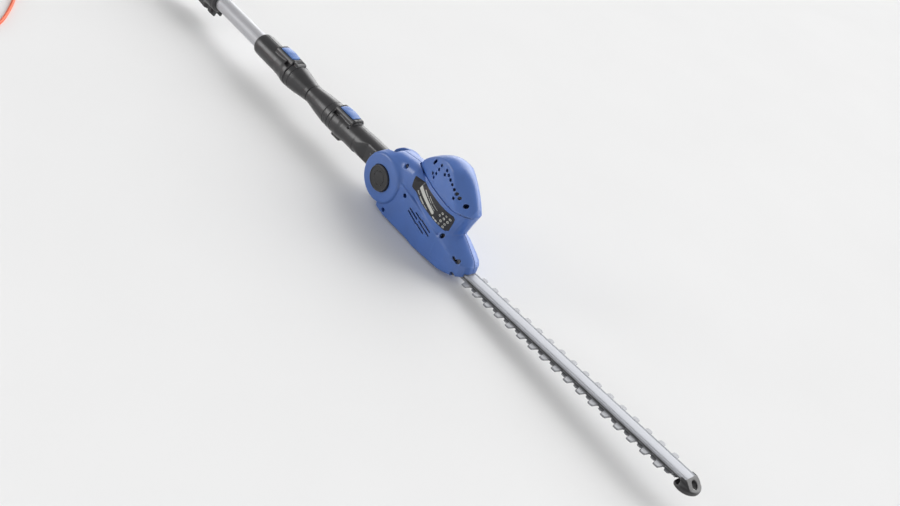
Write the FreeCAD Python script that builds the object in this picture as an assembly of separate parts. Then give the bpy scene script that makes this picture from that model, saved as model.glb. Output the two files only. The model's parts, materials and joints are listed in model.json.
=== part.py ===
import FreeCAD, Part
import math
import os

V = FreeCAD.Vector

# ---------------------------------------------------------------------------
# Pole hedge trimmer, millimetres, +Z up, lying on a floor at Z = 0.
# The pole runs along X with the blade at +X.  Most pieces are drawn in the pole
# frame, whose origin is the tilt pivot; head pieces are drawn in the head frame,
# which shares that origin and has the blade along X.  Both are then moved to the
# model frame, whose origin is below the middle of the whole trimmer.
# ---------------------------------------------------------------------------

# Driving dimensions
RIDE_HEIGHT = 54.0          # pole axis above the floor
PIVOT_X = 320.0             # pivot's place along the model frame's X
BLADE_RISE = 3.2            # degrees the blade points up from the pole at rest
TILT_UP = 41.8              # degrees from rest to the upper stop
TILT_DOWN = 78.2            # degrees from rest to the lower stop

TUBE_R = 14.75              # lower (inner) pole tube
TUBE_WALL = 1.5
OUTER_TUBE_R = 17.3         # upper (outer) pole tube
OUTER_TUBE_WALL = 1.3
TELESCOPE_TRAVEL = 350.0

HEAD_HALF = 28.0            # half width of the head's body
BOSS_R = 41.5               # round boss over the pivot
BOSS_HALF = 30.5
TONGUE_HALF = 15.5          # half width of the arm's flat tongue
TONGUE_R = 34.0
SLOT_GAP = 0.4              # clearance each side of the tongue
CAP_DISC_R = 21.8           # lock button and pivot cap
CAP_FACE = 35.0             # their outer faces, from the middle plane
SHELL = 2.6                 # wall of the plastic shells
SEAM_Z = 43.0               # joint between the head shells and the motor cap

TOOTH_PITCH = 25.0
TOOTH_COUNT = 17
LONG_TOOTH_X = 226.6        # first long tooth
SHORT_TOOTH_X = 240.6       # first short tooth
LONG_TOOTH_HALF = 26.2
SHORT_TOOTH_HALF = 17.9
SPINE_HALF = 11.5
BLADE_THICK = 2.0
BAR_TOP = -40.8             # cover bar
BAR_DEPTH = 5.2
BAR_HALF = 12.0
BAR_END = 668.0
HANG_HOLE_X = 677.0
UPPER_BLADE_TOP = -46.4
LOWER_BLADE_TOP = -48.8
STROKE = 6.0                # each blade moves this far either way

MOTOR_X = 138.0             # motor axis, head frame
GEAR_MODULE = 0.9
PINION_TEETH = 12
GEAR_TEETH = 48
PRESSURE_ANGLE = math.radians(25.0)
GEAR_TOP = -31.0
GEAR_THICK = 6.0

UPPER_MOUTH = -298.0        # seam between the upper socket and the adapter
LOWER_MOUTH = -165.0        # seam between the adapter and the arm
SPIGOT_R = 17.0
SPIGOT_LENGTH = 38.0

COLLAR_X = -540.0           # front face of the telescope collar
HANDLE_FRONT = -1000.0
HANDLE_REAR = -1292.0
HANDLE_HALF = 19.0
SLEEVE_LENGTH = 38.6

CORD_D = 5.8
COIL_CENTRE = (-762.0, -482.0)
COIL_MID_R = 52.0           # middle of the coil's turns
COIL_COLUMNS = 6            # turns beside each other
COIL_LAYERS = 4             # turns on each other

crank_x = MOTOR_X - GEAR_MODULE * (PINION_TEETH + GEAR_TEETH) / 2
rise = math.radians(BLADE_RISE)
keel_x = 105.0
keel_z = -(RIDE_HEIGHT + keel_x * math.sin(rise)) / math.cos(rise)

parts = {}


# ---------------------------------------------------------------------------
# Helpers
# ---------------------------------------------------------------------------
def box(x0, x1, y0, y1, z0, z1):
    return Part.makeBox(x1 - x0, y1 - y0, z1 - z0, V(x0, y0, z0))


def rod(start, direction, radius, length):
    return Part.makeCylinder(radius, length, V(*start), V(*direction))


def pipe(start, direction, outer, inner, length):
    return rod(start, direction, outer, length).cut(rod(start, direction, inner, length))


def closed_wire(points):
    return Part.makePolygon([V(*p) for p in points] + [V(*points[0])])


def plate_xz(outline, y0, y1):
    """Solid between two Y planes from an outline of (x, z) points."""
    face = Part.Face(closed_wire([(x, y0, z) for x, z in outline]))
    return face.extrude(V(0, y1 - y0, 0))


def plate_xy(outline, z0, z1):
    """Solid between two Z planes from an outline of (x, y) points."""
    face = Part.Face(closed_wire([(x, y, z0) for x, y in outline]))
    return face.extrude(V(0, 0, z1 - z0))


def turned(profile):
    """Solid turned about the pole axis from (x, radius) points."""
    face = Part.Face(closed_wire([(x, 0, r) for x, r in profile]))
    return face.revolve(V(0, 0, 0), V(1, 0, 0), 360)


def fuse(*shapes):
    return shapes[0].multiFuse(list(shapes[1:])).removeSplitter()


def halves(shape):
    """The two halves of a shape split at the middle plane: near side, far side."""
    bounds = shape.BoundBox
    near = box(bounds.XMin - 1, bounds.XMax + 1, bounds.YMin - 1, 0, bounds.ZMin - 1, bounds.ZMax + 1)
    return shape.common(near), shape.cut(near)


def rounded(shape, radius, chosen):
    """Fillet the edges that the test picks."""
    edges = [edge for edge in shape.Edges if chosen(edge.BoundBox)]
    return shape.makeFillet(radius, edges)


def arc_points(cx, cz, radius, start, end, count):
    """Points along a round stretch of an outline, angles in degrees."""
    angles = [math.radians(start + (end - start) * i / count) for i in range(count + 1)]
    return [(cx + radius * math.cos(a), cz + radius * math.sin(a)) for a in angles]


def coil_spring(start, axis, radius, wire, length, turns):
    """Helical compression spring along an axis."""
    helix = Part.makeHelix(length / turns, length, radius)
    profile = Part.Wire(Part.makeCircle(wire / 2, V(radius, 0, 0), V(0, 1, 0)))
    spring = Part.Wire(helix.Edges).makePipeShell([profile], True, True)
    turn = FreeCAD.Rotation(V(0, 0, 1), V(*axis))
    spring.Placement = FreeCAD.Placement(V(*start), turn)
    return spring


def gear(teeth, z0, thickness, phase):
    """Involute spur gear about Z, with one tooth centred on the phase angle."""
    pitch_r = GEAR_MODULE * teeth / 2
    base_r = pitch_r * math.cos(PRESSURE_ANGLE)
    tip_r = pitch_r + 0.9 * GEAR_MODULE
    root_r = pitch_r - 1.15 * GEAR_MODULE
    backlash = 0.10 / pitch_r

    def involute(r):
        return math.sqrt((r / base_r) ** 2 - 1) - math.acos(base_r / r)

    half_at_pitch = math.pi / (2 * teeth) - backlash
    outline = []
    for tooth in range(teeth):
        middle = phase + 2 * math.pi * tooth / teeth
        flank = []
        for step in range(5):
            r = max(base_r, root_r) + (tip_r - max(base_r, root_r)) * step / 4
            flank.append((r, half_at_pitch + involute(pitch_r) - involute(r)))
        if root_r < base_r:
            flank.insert(0, (root_r, flank[0][1]))
        outline += [(r * math.cos(middle - a), r * math.sin(middle - a)) for r, a in flank]
        outline += [(r * math.cos(middle + a), r * math.sin(middle + a)) for r, a in reversed(flank)]
    return plate_xy(outline, z0, z0 + thickness)


def add_pole(name, shape):
    """Keep a piece drawn in the pole frame."""
    moved = shape.copy()
    moved.translate(V(PIVOT_X, 0, RIDE_HEIGHT))
    parts[name] = moved


def add_head(name, shape):
    """Keep a piece drawn in the head frame."""
    tilted = shape.copy()
    tilted.rotate(V(0, 0, 0), V(0, 1, 0), -BLADE_RISE)
    add_pole(name, tilted)


# ---------------------------------------------------------------------------
# Head: outer form
# ---------------------------------------------------------------------------
def hump_outline(rear, front, half_width, z):
    """Teardrop plan of the motor hump, as a closed smooth wire."""
    stations = [(0.03, 0.20), (0.10, 0.33), (0.20, 0.46), (0.36, 0.72), (0.52, 0.88), (0.65, 0.97),
                (0.76, 1.0), (0.86, 0.92), (0.935, 0.72), (0.98, 0.42)]
    length = front - rear
    near = [V(rear + length * s, -half_width * w, z) for s, w in stations]
    far = [V(p.x, -p.y, z) for p in reversed(near)]
    curve = Part.BSplineCurve()
    curve.interpolate([V(rear, 0, z)] + near + [V(front, 0, z)] + far, PeriodicFlag=True)
    return Part.Wire(curve.toShape())


def hump(inset, low, high):
    """Motor hump between two heights: its front leans forward as it rises."""
    def section(z):
        share = (z + 12.0) / (SEAM_Z + 12.0)
        rear = 49.0 - 4.0 * share + inset
        front = 167.0 + 17.5 * share - inset
        return hump_outline(rear, front, 27.2 + 1.0 * share - inset, z)
    return Part.makeLoft([section(low), section(high)], True, True)


def body_outline(inset):
    """Side outline of the head's lower body and nose."""
    belly = [(26, -54), (90, -57), (keel_x, keel_z), (167, -58), (194, -53), (209, -47), (216, -36)]
    ridge = [(216, -26), (190, -22), (157, -13), (60, 13)]
    if inset:
        belly = [(48, -54.5 + inset), (90, -57 + inset), (keel_x, keel_z + inset), (167, -58 + inset),
                 (193, -53 + inset), (207, -46 + inset), (216 - inset, -37 + inset)]
        ridge = [(216 - inset, -26 - inset), (190, -22 - inset), (157, -13 - inset), (60, 13 - inset),
                 (48, 13 - inset)]
        return belly + ridge
    rear = [(0, 30), (0, -30), (6, -49)]
    return rear + belly + ridge


def body_plan(inset):
    """Plan of the lower body: parallel sides that round in towards the tip of the nose."""
    near = [(-60, 60), (-60, -60), (20, -60), (20, -HEAD_HALF + inset), (172, -HEAD_HALF + inset)]
    taper = [(184, 26.5), (194, 24.3), (203, 20.3), (210, 14.8), (214.5, 8.5)]
    near += [(x - 0.5 * inset, -half + inset) for x, half in taper] + [(216 - inset, -3)]
    return plate_xy(near[1:] + [(x, -y) for x, y in reversed(near[1:])], -80, 80)


def head_outer():
    body = plate_xz(body_outline(0), -HEAD_HALF, HEAD_HALF)
    body = rounded(body, 4.0, lambda b: b.YLength < 0.01 and b.XMin > 20 and b.ZLength < 42)
    body = body.common(body_plan(0))
    neck = plate_xz([(0, 0), (-29, 29.5), (-14, 42), (8, 48.5), (46, 50), (72, 42), (72, 0)], -21, 21)
    neck = rounded(neck, 7.0, lambda b: b.YLength < 0.01 and b.ZMin > 28 and b.XMax < 73)
    boss = rod((0, -BOSS_HALF, 0), (0, 1, 0), BOSS_R, 2 * BOSS_HALF)
    boss = rounded(boss, 4.0, lambda b: b.YLength < 0.01)
    crown = plate_xz([(150, -30), (150, 8), (171, 3), (203, -13), (212, -21), (215, -32)], -19, 19)
    crown = rounded(crown, 9.0, lambda b: b.YLength < 0.01 and b.ZMin > -22 and b.XMax < 213)
    crown = crown.common(body_plan(0))
    return fuse(body, neck, boss, crown, hump(0, -12, SEAM_Z))


def head_hollow():
    inner = HEAD_HALF - SHELL
    body = plate_xz(body_outline(SHELL), -inner, inner).common(body_plan(SHELL))
    blade_mouth = box(180, 240, -12.6, 12.6, -51.6, -40.3)
    return fuse(body, hump(SHELL, -14, SEAM_Z), blade_mouth)


def arm_slot():
    """Room that the arm's tongue needs between the cheeks, over the whole tilt."""
    half = TONGUE_HALF + SLOT_GAP
    sector = [(0, 0)] + arc_points(0, 0, 75, 90, 288, 12)
    ring = rod((0, -half, 0), (0, 1, 0), TONGUE_R + 2, 2 * half)
    return fuse(plate_xz(sector, -half, half), ring)


# Place and shank length; the one beside the bar is short
HEAD_SCREWS = [(34, 42, 28), (58, 4, 28), (24, -45, 28), (152, -8.6, 28), (196, -48, 3.6), (197, -25, 28)]
LOUVRES = [(column, row) for column in (88, 118) for row in (0, 1, 2)]


def make_head_shells():
    outer = head_outer().cut(head_hollow()).cut(arm_slot()).cut(cap_form(0))
    cutters = []
    for side in (-1, 1):
        cutters.append(rod((0, side * 24.6, 0), (0, side, 0), CAP_DISC_R + 0.4, 12))
        cutters.append(rod((0, side * 19.5, 0), (0, side, 0), 8.2, 6))
    cutters.append(rod((0, -32, 0), (0, 1, 0), 4.0, 64))
    cutters.append(rod((0, -17.9, 0), (0, 1, 0), 20.2, 4))
    for x, z, shank in HEAD_SCREWS:
        cutters.append(rod((x, -40, z), (0, 1, 0), 3.6, 40 - 17))
        cutters.append(rod((x, -17, z), (0, 1, 0), 1.6, shank + 2))
    for column, row in LOUVRES:
        x = column
        z = -8.5 - 0.25 * (column - 88) - 5.2 * row
        slot = plate_xz([(x - 11, z + 3.2), (x + 11, z - 2.6), (x + 11, z - 4.4), (x - 11, z + 1.4)], -30, -20)
        cutters.append(slot)
        cutters.append(slot.mirror(V(0, 0, 0), V(0, 1, 0)))
    near, far = halves(outer.cut(Part.makeCompound(cutters)))
    add_head("head_shell_left", near)
    add_head("head_shell_right", far)
    screws = []
    for x, z, shank in HEAD_SCREWS:
        screws.append(fuse(rod((x, -20, z), (0, 1, 0), 3.3, 3), rod((x, -17, z), (0, 1, 0), 1.6, shank)))
    add_head("head_screws", Part.makeCompound(screws))


def cap_profile(inset):
    """Side outline of the motor cap, crowned from the rear to a low front lip."""
    top = [(44, 58), (54, 70.5), (68, 82), (85, 93.5), (100, 100), (114, 102), (130, 100.5), (146, 96),
           (159, 87), (171, 75), (180, 63), (186, 53)]
    middle = V(118, 0, 60)
    points = []
    for x, z in top:
        offset = V(x, 0, z) - middle
        points.append(middle + offset * (1 - inset / offset.Length))
    curve = Part.BSplineCurve()
    curve.interpolate(points)
    floor_z = SEAM_Z
    start = V(points[0].x, 0, floor_z)
    end = V(points[-1].x, 0, floor_z)
    wire = Part.Wire([curve.toShape(), Part.makeLine(points[-1], end), Part.makeLine(end, start),
                      Part.makeLine(start, points[0])])
    return Part.Face(wire)


def cap_form(inset):
    side = cap_profile(inset).extrude(V(0, 80, 0))
    side.translate(V(0, -40, 0))
    width = HEAD_HALF - inset
    plan = Part.makeLoft([hump_outline(45 + inset, 185 - inset, width + 0.2, SEAM_Z),
                          hump_outline(47 + inset, 186 - inset, width - 4.5, 104)], True, True)
    return side.common(plan).Solids[0]


def make_motor_cap():
    cap = cap_form(0).cut(cap_form(SHELL))
    cutters = []
    for x, z in cap_vents():
        cutters.append(rod((x, -40, z), (0, 1, 0), 2.0, 80))
    cutters.append(rod((168, -40, 57), (0, 1, 0), 3.4, 20))
    add_head("motor_cap", cap.cut(Part.makeCompound(cutters)))


def cap_vents():
    """Vent holes: a row under the crown's edge, and two short columns."""
    row = [(112 + 7.2 * i, 86.0 - 3.4 * i - 0.22 * i * i) for i in range(7)]
    columns = [(96 + 2.0 * i, 84 - 7.4 * i) for i in range(4)]
    rear = [(84 + 1.5 * i, 80 - 7.4 * i) for i in range(2)]
    return row + columns + rear


def make_label():
    outline = [(64, 39), (68, 22), (150, 3), (155, 6), (160, 32), (157, 36), (110, 36)]
    skin = hump(-0.7, -12, SEAM_Z).cut(hump(0.02, -13, SEAM_Z + 1))
    label = skin.common(plate_xz(outline, -40, -5)).cut(head_outer())
    add_head("rating_label", label.Solids[0])


# ---------------------------------------------------------------------------
# Tilt pivot
# ---------------------------------------------------------------------------
def detent_ring(y0, direction):
    """Face-toothed ring, one tooth each 15 degrees."""
    ring = pipe((0, y0, 0), (0, direction, 0), 19.8, 12.0, 1.0)
    teeth = []
    for i in range(24):
        tooth = box(12.6, 19.2, -0.6, 0.6, -0.7, 0.7)
        tooth.translate(V(0, y0 + direction * 1.2, 0))
        tooth.rotate(V(0, 0, 0), V(0, 1, 0), 15 * i)
        teeth.append(tooth)
    return ring.multiFuse(teeth).removeSplitter()


def make_pivot():
    bolt = fuse(rod((0, -19.5, 0), (0, 1, 0), 4.0, 45), rod((0, -23.5, 0), (0, 1, 0), 7.0, 4))
    hexagon = [(6.4 * math.cos(math.radians(60 * i)), 6.4 * math.sin(math.radians(60 * i))) for i in range(6)]
    nut = plate_xz(hexagon, 19.6, 24.2).cut(rod((0, 10, 0), (0, 1, 0), 4.0, 30))
    add_head("pivot_bolt", Part.makeCompound([bolt, nut]))
    add_head("head_detent_ring", detent_ring(-17.9, 1).cut(rod((0, -30, 0), (0, 1, 0), 8.3, 30)))
    add_pole("arm_detent_ring", detent_ring(-13.2, -1).cut(rod((0, -30, 0), (0, 1, 0), 8.3, 30)))
    disc = rod((0, -CAP_FACE, 0), (0, 1, 0), CAP_DISC_R, 6)
    disc = rounded(disc, 1.4, lambda b: b.YLength < 0.01 and b.YMax < -30)
    pocket = rod((0, -33, 0), (0, 1, 0), 14.5, 4)
    dish = rod((0, -CAP_FACE - 1, 0), (0, 1, 0), CAP_DISC_R - 3.4, 1.4)
    add_head("tilt_lock_button", disc.cut(pocket).cut(dish))
    add_head("tilt_lock_spring", coil_spring((0, -32.4, 0), (0, 1, 0), 11.2, 1.2, 7.2, 2.8))
    cap = rod((0, 24.6, 0), (0, 1, 0), CAP_DISC_R, CAP_FACE - 24.6)
    cap = rounded(cap, 1.4, lambda b: b.YLength < 0.01 and b.YMin > 30)
    add_head("pivot_cap", cap.cut(rod((0, 20, 0), (0, 1, 0), 12, 10)))


# ---------------------------------------------------------------------------
# Drive: motor, gears, crank
# ---------------------------------------------------------------------------
def make_motor():
    def shaft_rod(z0, radius, length):
        return rod((MOTOR_X, 0, z0), (0, 0, 1), radius, length)

    can = shaft_rod(-3, 23.5, 53).cut(shaft_rod(2, 20.0, 60)).cut(shaft_rod(-4, 8.0, 10))
    lower = shaft_rod(-3, 8.0, 5).cut(shaft_rod(-4, 2.55, 8))
    upper = shaft_rod(50, 8.0, 5).cut(shaft_rod(49, 2.55, 8))
    bush = pipe((crank_x, 0, -29.5), (0, 0, 1), 6.5, 4.05, 18.5)
    add_head("bearings", Part.makeCompound([lower, upper, bush]))
    add_head("motor_shaft", shaft_rod(-37.5, 2.5, 110))
    core = shaft_rod(5, 17.0, 29).cut(shaft_rod(4, 2.5, 40))
    commutator = shaft_rod(36, 8.5, 10).cut(shaft_rod(35, 2.5, 20))
    add_head("armature", Part.makeCompound([core, commutator]))
    bell = shaft_rod(50, 23.5, 5).cut(shaft_rod(49, 8.0, 8))
    for side in (-1, 1):
        brush = box(MOTOR_X - 3, MOTOR_X + 3, 9.1, 19.5, 38, 50)
        brush.rotate(V(MOTOR_X, 0, 0), V(0, 0, 1), 90 - 90 * side)
        bell = fuse(bell, brush)
    add_head("motor_can", Part.makeCompound([can, bell]))
    fan = fuse(shaft_rod(58, 6.0, 9), shaft_rod(58, 18.5, 1.2))
    blades = []
    for i in range(9):
        blade = box(MOTOR_X + 5.5, MOTOR_X + 18.5, -0.6, 0.6, 58, 67)
        blade.rotate(V(MOTOR_X, 0, 0), V(0, 0, 1), 40 * i)
        blades.append(blade)
    add_head("cooling_fan", fan.multiFuse(blades).removeSplitter().cut(shaft_rod(50, 2.5, 30)))


def make_gearbox():
    centre = (crank_x, 0)
    gap = math.pi - math.pi / PINION_TEETH
    pinion = gear(PINION_TEETH, GEAR_TOP - GEAR_THICK, GEAR_THICK, gap)
    pinion.translate(V(MOTOR_X, 0, 0))
    add_head("pinion", pinion.cut(rod((MOTOR_X, 0, -50), (0, 0, 1), 2.5, 40)))
    wheel = gear(GEAR_TEETH, GEAR_TOP - GEAR_THICK, GEAR_THICK, 0.0)
    wheel.translate(V(crank_x, 0, 0))
    add_head("crank_gear", wheel.cut(rod(centre + (-60,), (0, 0, 1), 4.0, 50)))
    high = rod((crank_x, STROKE, -48.6), (0, 0, 1), 7.0, 48.6 + GEAR_TOP - GEAR_THICK)
    low = rod((crank_x, -STROKE, -51.0), (0, 0, 1), 7.0, 2.4)
    core = rod(centre + (-51.0,), (0, 0, 1), 5.5, 51.0 + GEAR_TOP - GEAR_THICK)
    shaft = rod(centre + (-51.0,), (0, 0, 1), 4.0, 40.5)
    add_head("crank_shaft", fuse(high, low, core, shaft))
    frame = box(80, 178, -23, 23, -29.5, -24.5)
    hub = rod(centre + (-29.5,), (0, 0, 1), 10.0, 18.5)
    frame = fuse(frame, hub).cut(rod(centre + (-40,), (0, 0, 1), 6.5, 40))
    frame = frame.cut(rod((MOTOR_X, 0, -40), (0, 0, 1), 7.5, 40))
    posts = [rod((174, side * 6, BAR_TOP), (0, 0, 1), 3.5, -29.5 - BAR_TOP) for side in (-1, 1)]
    add_head("gear_housing", fuse(frame, *posts))


# ---------------------------------------------------------------------------
# Blade assembly
# ---------------------------------------------------------------------------
BLADE_BOLTS = [250.0 + 100.0 * i for i in range(5)]


def blade(first_tooth, tooth_half, base_half, rear, front, z_top):
    """Toothed strip with an oval yoke at the crank and slots for its guide spacers."""
    near = [(rear, -SPINE_HALF)]
    for i in range(TOOTH_COUNT):
        x = first_tooth + TOOTH_PITCH * i
        near += [(x - base_half, -SPINE_HALF), (x - 3.4, -tooth_half + 1.2), (x - 2.4, -tooth_half),
                 (x + 2.4, -tooth_half), (x + 3.4, -tooth_half + 1.2), (x + base_half, -SPINE_HALF)]
    near += [(front, -SPINE_HALF), (front + 3, -SPINE_HALF + 4)]
    outline = near + [(x, -y) for x, y in reversed(near)]
    z0 = z_top - BLADE_THICK
    strip = plate_xy(outline, z0, z_top)
    yoke = rod((crank_x, 0, z0), (0, 0, 1), 18.5, BLADE_THICK)
    ends = [yoke]
    for side in (-1, 1):
        ends.append(rod((crank_x + side * 6, 0, z0), (0, 0, 1), 18.5, BLADE_THICK))
    body = strip.multiFuse(ends + [box(crank_x - 6, crank_x + 6, -18.5, 18.5, z0, z_top)]).removeSplitter()
    opening = [box(crank_x - 6.2, crank_x + 6.2, -13.6, 13.6, z0 - 1, z_top + 1)]
    for side in (-1, 1):
        opening.append(rod((crank_x + side * 6.2, 0, z0 - 1), (0, 0, 1), 13.6, 4))
    for x in BLADE_BOLTS:
        reach = STROKE + 0.5
        opening.append(box(x - reach, x + reach, -5.0, 5.0, z0 - 1, z_top + 1))
        opening += [rod((x + side * reach, 0, z0 - 1), (0, 0, 1), 5.0, 4) for side in (-1, 1)]
    return body.cut(opening[0].multiFuse(opening[1:]))


def make_blades():
    rear = crank_x + 12
    add_head("upper_blade", blade(LONG_TOOTH_X, LONG_TOOTH_HALF, 7.2, rear, 648, UPPER_BLADE_TOP))
    add_head("lower_blade", blade(SHORT_TOOTH_X, SHORT_TOOTH_HALF, 5.6, rear, 652, LOWER_BLADE_TOP))
    bar = box(169, BAR_END, -BAR_HALF, BAR_HALF, BAR_TOP - BAR_DEPTH, BAR_TOP)
    bar = rounded(bar, 1.2, lambda b: b.XLength > 100 and b.ZMin > BAR_TOP - 0.01)
    bar = bar.cut(box(171, BAR_END + 1, -BAR_HALF + 1.4, BAR_HALF - 1.4, BAR_TOP - 9, BAR_TOP - 1.6))
    add_head("cover_bar", bar)
    bolts = []
    for x in BLADE_BOLTS:
        bolts.append(pipe((x, 0, -51.0), (0, 0, 1), 4.7, 2.5, 51.0 + BAR_TOP - 1.6))
        bolts.append(fuse(rod((x, 0, -52.2), (0, 0, 1), 6.5, 1.2), rod((x, 0, -54.2), (0, 0, 1), 4.0, 2.0),
                          rod((x, 0, -52.0), (0, 0, 1), 2.5, 52.0 + BAR_TOP - 1.6)))
    add_head("blade_bolts", Part.makeCompound(bolts))
    make_tip_protector()


def make_tip_protector():
    """Rounded black tip over the bar's end, with a hanging hole."""
    nose = [(BAR_END - 8, -12.6)] + arc_points(673, 0, 15.5, -55, 55, 8) + [(BAR_END - 8, 12.6)]
    top = plate_xy(nose, -47, BAR_TOP + 0.6)
    wing = plate_xy([(657.5, -23)] + arc_points(664, 0, 24, -72, 72, 12) + [(657.5, 23)], -57, -51.8)
    core = plate_xy([(662.5, -13)] + arc_points(668, 0, 20.0, -50, 50, 8) + [(662.5, 13)], -52, -46)
    body = fuse(top, wing, core).cut(rod((HANG_HOLE_X, 0, -80), (0, 0, 1), 5.0, 60))
    socket = box(640, BAR_END, -BAR_HALF, BAR_HALF, BAR_TOP - BAR_DEPTH, BAR_TOP)
    mouth = box(640, 662.5, -26, 26, -51.8, -46)
    add_head("tip_protector", body.cut(socket).cut(mouth))


# ---------------------------------------------------------------------------
# Arm and couplings
# ---------------------------------------------------------------------------
def latch_block(mouth, inward):
    """Raised block on a socket's top, from its mouth inwards (-1 or +1 along X)."""
    x0, x1 = sorted((mouth, mouth + inward * 48))
    section = [(-13.0, 8), (-13.0, 20), (-8.5, 26.5), (8.5, 26.5), (13.0, 20), (13.0, 8)]
    face = Part.Face(closed_wire([(x0, y, z) for y, z in section]))
    return face.extrude(V(x1 - x0, 0, 0))


def latch_pocket(mouth, inward):
    """Room for a latch button, its spring and its hook."""
    def span(a, b):
        return sorted((mouth + inward * a, mouth + inward * b))
    a0, a1 = span(5.6, 45)
    h0, h1 = span(4.2, 11.6)
    slot = box(a0, a1, -9.0, 9.0, 19.5, 40)
    hook = box(h0, h1, -5.2, 5.2, 12, 40)
    return fuse(slot, hook)


def make_latch(prefix, mouth, inward):
    """Rocker button on a cross pin, with its hook in the spigot's notch and a spring."""
    def span(a, b):
        return sorted((mouth + inward * a, mouth + inward * b))
    c0, c1 = span(6.8, 43.5)
    low = [(c0, 27.0), (c1, 27.0), (c1 - 2.5, 30.5), (c0 + 2.5, 30.5)]
    cap = plate_xz(low, -8.6, 8.6)
    cap = rounded(cap, 1.0, lambda b: b.ZMin > 30.4)
    w0, w1 = span(8.0, 30)
    web = box(w0, w1, -6.8, 6.8, 21.5, 27.2)
    h0, h1 = span(6.4, 9.8)
    hook = box(h0, h1, -4.6, 4.6, 14.6, 27.2)
    pin_x = mouth + inward * 24
    button = fuse(cap, web, hook).cut(rod((pin_x, -20, 23.8), (0, 1, 0), 1.55, 40))
    add_pole(prefix + "_latch_button", button)
    spring_x = mouth + inward * 37.5
    add_pole(prefix + "_latch_spring", coil_spring((spring_x, 0, 20.2), (0, 0, 1), 2.6, 0.8, 6.2, 3.8))


def make_latch_pins():
    pins = [rod((x, -10.2, 23.8), (0, 1, 0), 1.5, 20.4) for x in (LOWER_MOUTH + 24, UPPER_MOUTH - 24)]
    add_pole("latch_pins", Part.makeCompound(pins))


def make_arm():
    throat = turned([(LOWER_MOUTH, 0), (LOWER_MOUTH, 22.6), (-134, 22.6), (-122, 20.4), (-100, 20.4), (-100, 0)])
    circles = [Part.Wire(Part.makeCircle(r, V(x, 0, z), V(1, 0, 0)))
               for x, r, z in ((-126, 20.6, 1.0), (-75, 21.8, 2.6), (-26, 22.0, 3.6))]
    body = Part.makeLoft(circles, True, True)
    hump_block = plate_xz([(-112, 10), (-112, 25), (-108, 26), (-102, 20), (-98, 10)], -9, 9)
    foot = box(-156, -134, -12, 12, -24.0, -14)
    solid = fuse(throat, body, hump_block, foot, latch_block(LOWER_MOUTH, 1))
    for side in (-1, 1):
        shave = plate_xy([(-86, side * 24), (-64, side * TONGUE_HALF), (0, side * TONGUE_HALF),
                          (0, side * 50), (-86, side * 50)], -60, 60)
        solid = solid.cut(shave)
    tongue = rod((0, -TONGUE_HALF, 0), (0, 1, 0), TONGUE_R, 2 * TONGUE_HALF)
    solid = fuse(solid, tongue)
    socket = turned([(LOWER_MOUTH - 1, 0), (LOWER_MOUTH - 1, SPIGOT_R + 0.1), (-118, SPIGOT_R + 0.1), (-118, 0)])
    hollow = turned([(-119, 0), (-119, 15.5), (-44, 15.5), (-44, 0)])
    hollow = hollow.common(box(-120, -40, -12.5, 12.5, -30, 30))
    solid = solid.cut(fuse(socket, hollow)).cut(latch_pocket(LOWER_MOUTH, 1))
    solid = solid.cut(rod((0, -40, 0), (0, 1, 0), 4.06, 80))
    solid = solid.cut(rod((0, -15.6, 0), (0, 1, 0), 20.2, 2.4))
    holes = [(-117.4, 15.5), (-52, 8), (-90, -12)]
    for x, z in holes:
        solid = solid.cut(rod((x, -40, z), (0, 1, 0), 2.6, 40 - 13.5)).cut(rod((x, -14, z), (0, 1, 0), 1.4, 24))
    solid = solid.cut(rod((LOWER_MOUTH + 24, -10.2, 23.8), (0, 1, 0), 1.5, 20.4))
    near, far = halves(solid)
    add_pole("arm_shell_left", near)
    add_pole("arm_shell_right", far)
    screws = [fuse(rod((x, -15.2, z), (0, 1, 0), 2.4, 1.7), rod((x, -13.6, z), (0, 1, 0), 1.4, 22))
              for x, z in holes]
    add_pole("arm_screws", Part.makeCompound(screws))


def spigot_notch(mouth, inward):
    x0, x1 = sorted((mouth + inward * 4.0, mouth + inward * 11.2))
    return box(x0, x1, -5.4, 5.4, 14.0, 20)


def make_adapter():
    front = turned([(-237, 11), (-237, 17.0), (-233, 17.2), (-212, 19.6), (-185, 22.4), (LOWER_MOUTH, 22.8),
                    (LOWER_MOUTH, SPIGOT_R), (LOWER_MOUTH + SPIGOT_LENGTH - 2, SPIGOT_R),
                    (LOWER_MOUTH + SPIGOT_LENGTH, SPIGOT_R - 2), (LOWER_MOUTH + SPIGOT_LENGTH, 11)])
    add_pole("adapter_front_cup", front.cut(spigot_notch(LOWER_MOUTH, 1)))
    rear = turned([(-237, 11), (-237, 17.0), (-256, 18.8), (-277, 22.0), (-290, 23.8), (UPPER_MOUTH, 24.0),
                   (UPPER_MOUTH, SPIGOT_R), (UPPER_MOUTH - SPIGOT_LENGTH + 2, SPIGOT_R),
                   (UPPER_MOUTH - SPIGOT_LENGTH, SPIGOT_R - 2), (UPPER_MOUTH - SPIGOT_LENGTH, 11)])
    rib = plate_xz([(-298, 15), (-298, 27), (-294, 27.5), (-286, 20), (-286, 15)], -9, 9)
    add_pole("adapter_rear_cup", fuse(rear, rib).cut(spigot_notch(UPPER_MOUTH, -1)))
    core = rod((-334, 0, 0), (1, 0, 0), 10.9, 212)
    for side in (-1, 1):
        core = core.cut(rod((-335, 4.5 * side, 0), (1, 0, 0), 1.6, 17))
        core = core.cut(rod((-121, 4.5 * side, 0), (-1, 0, 0), 1.6, 17))
    add_pole("adapter_socket_core", core)


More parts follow.
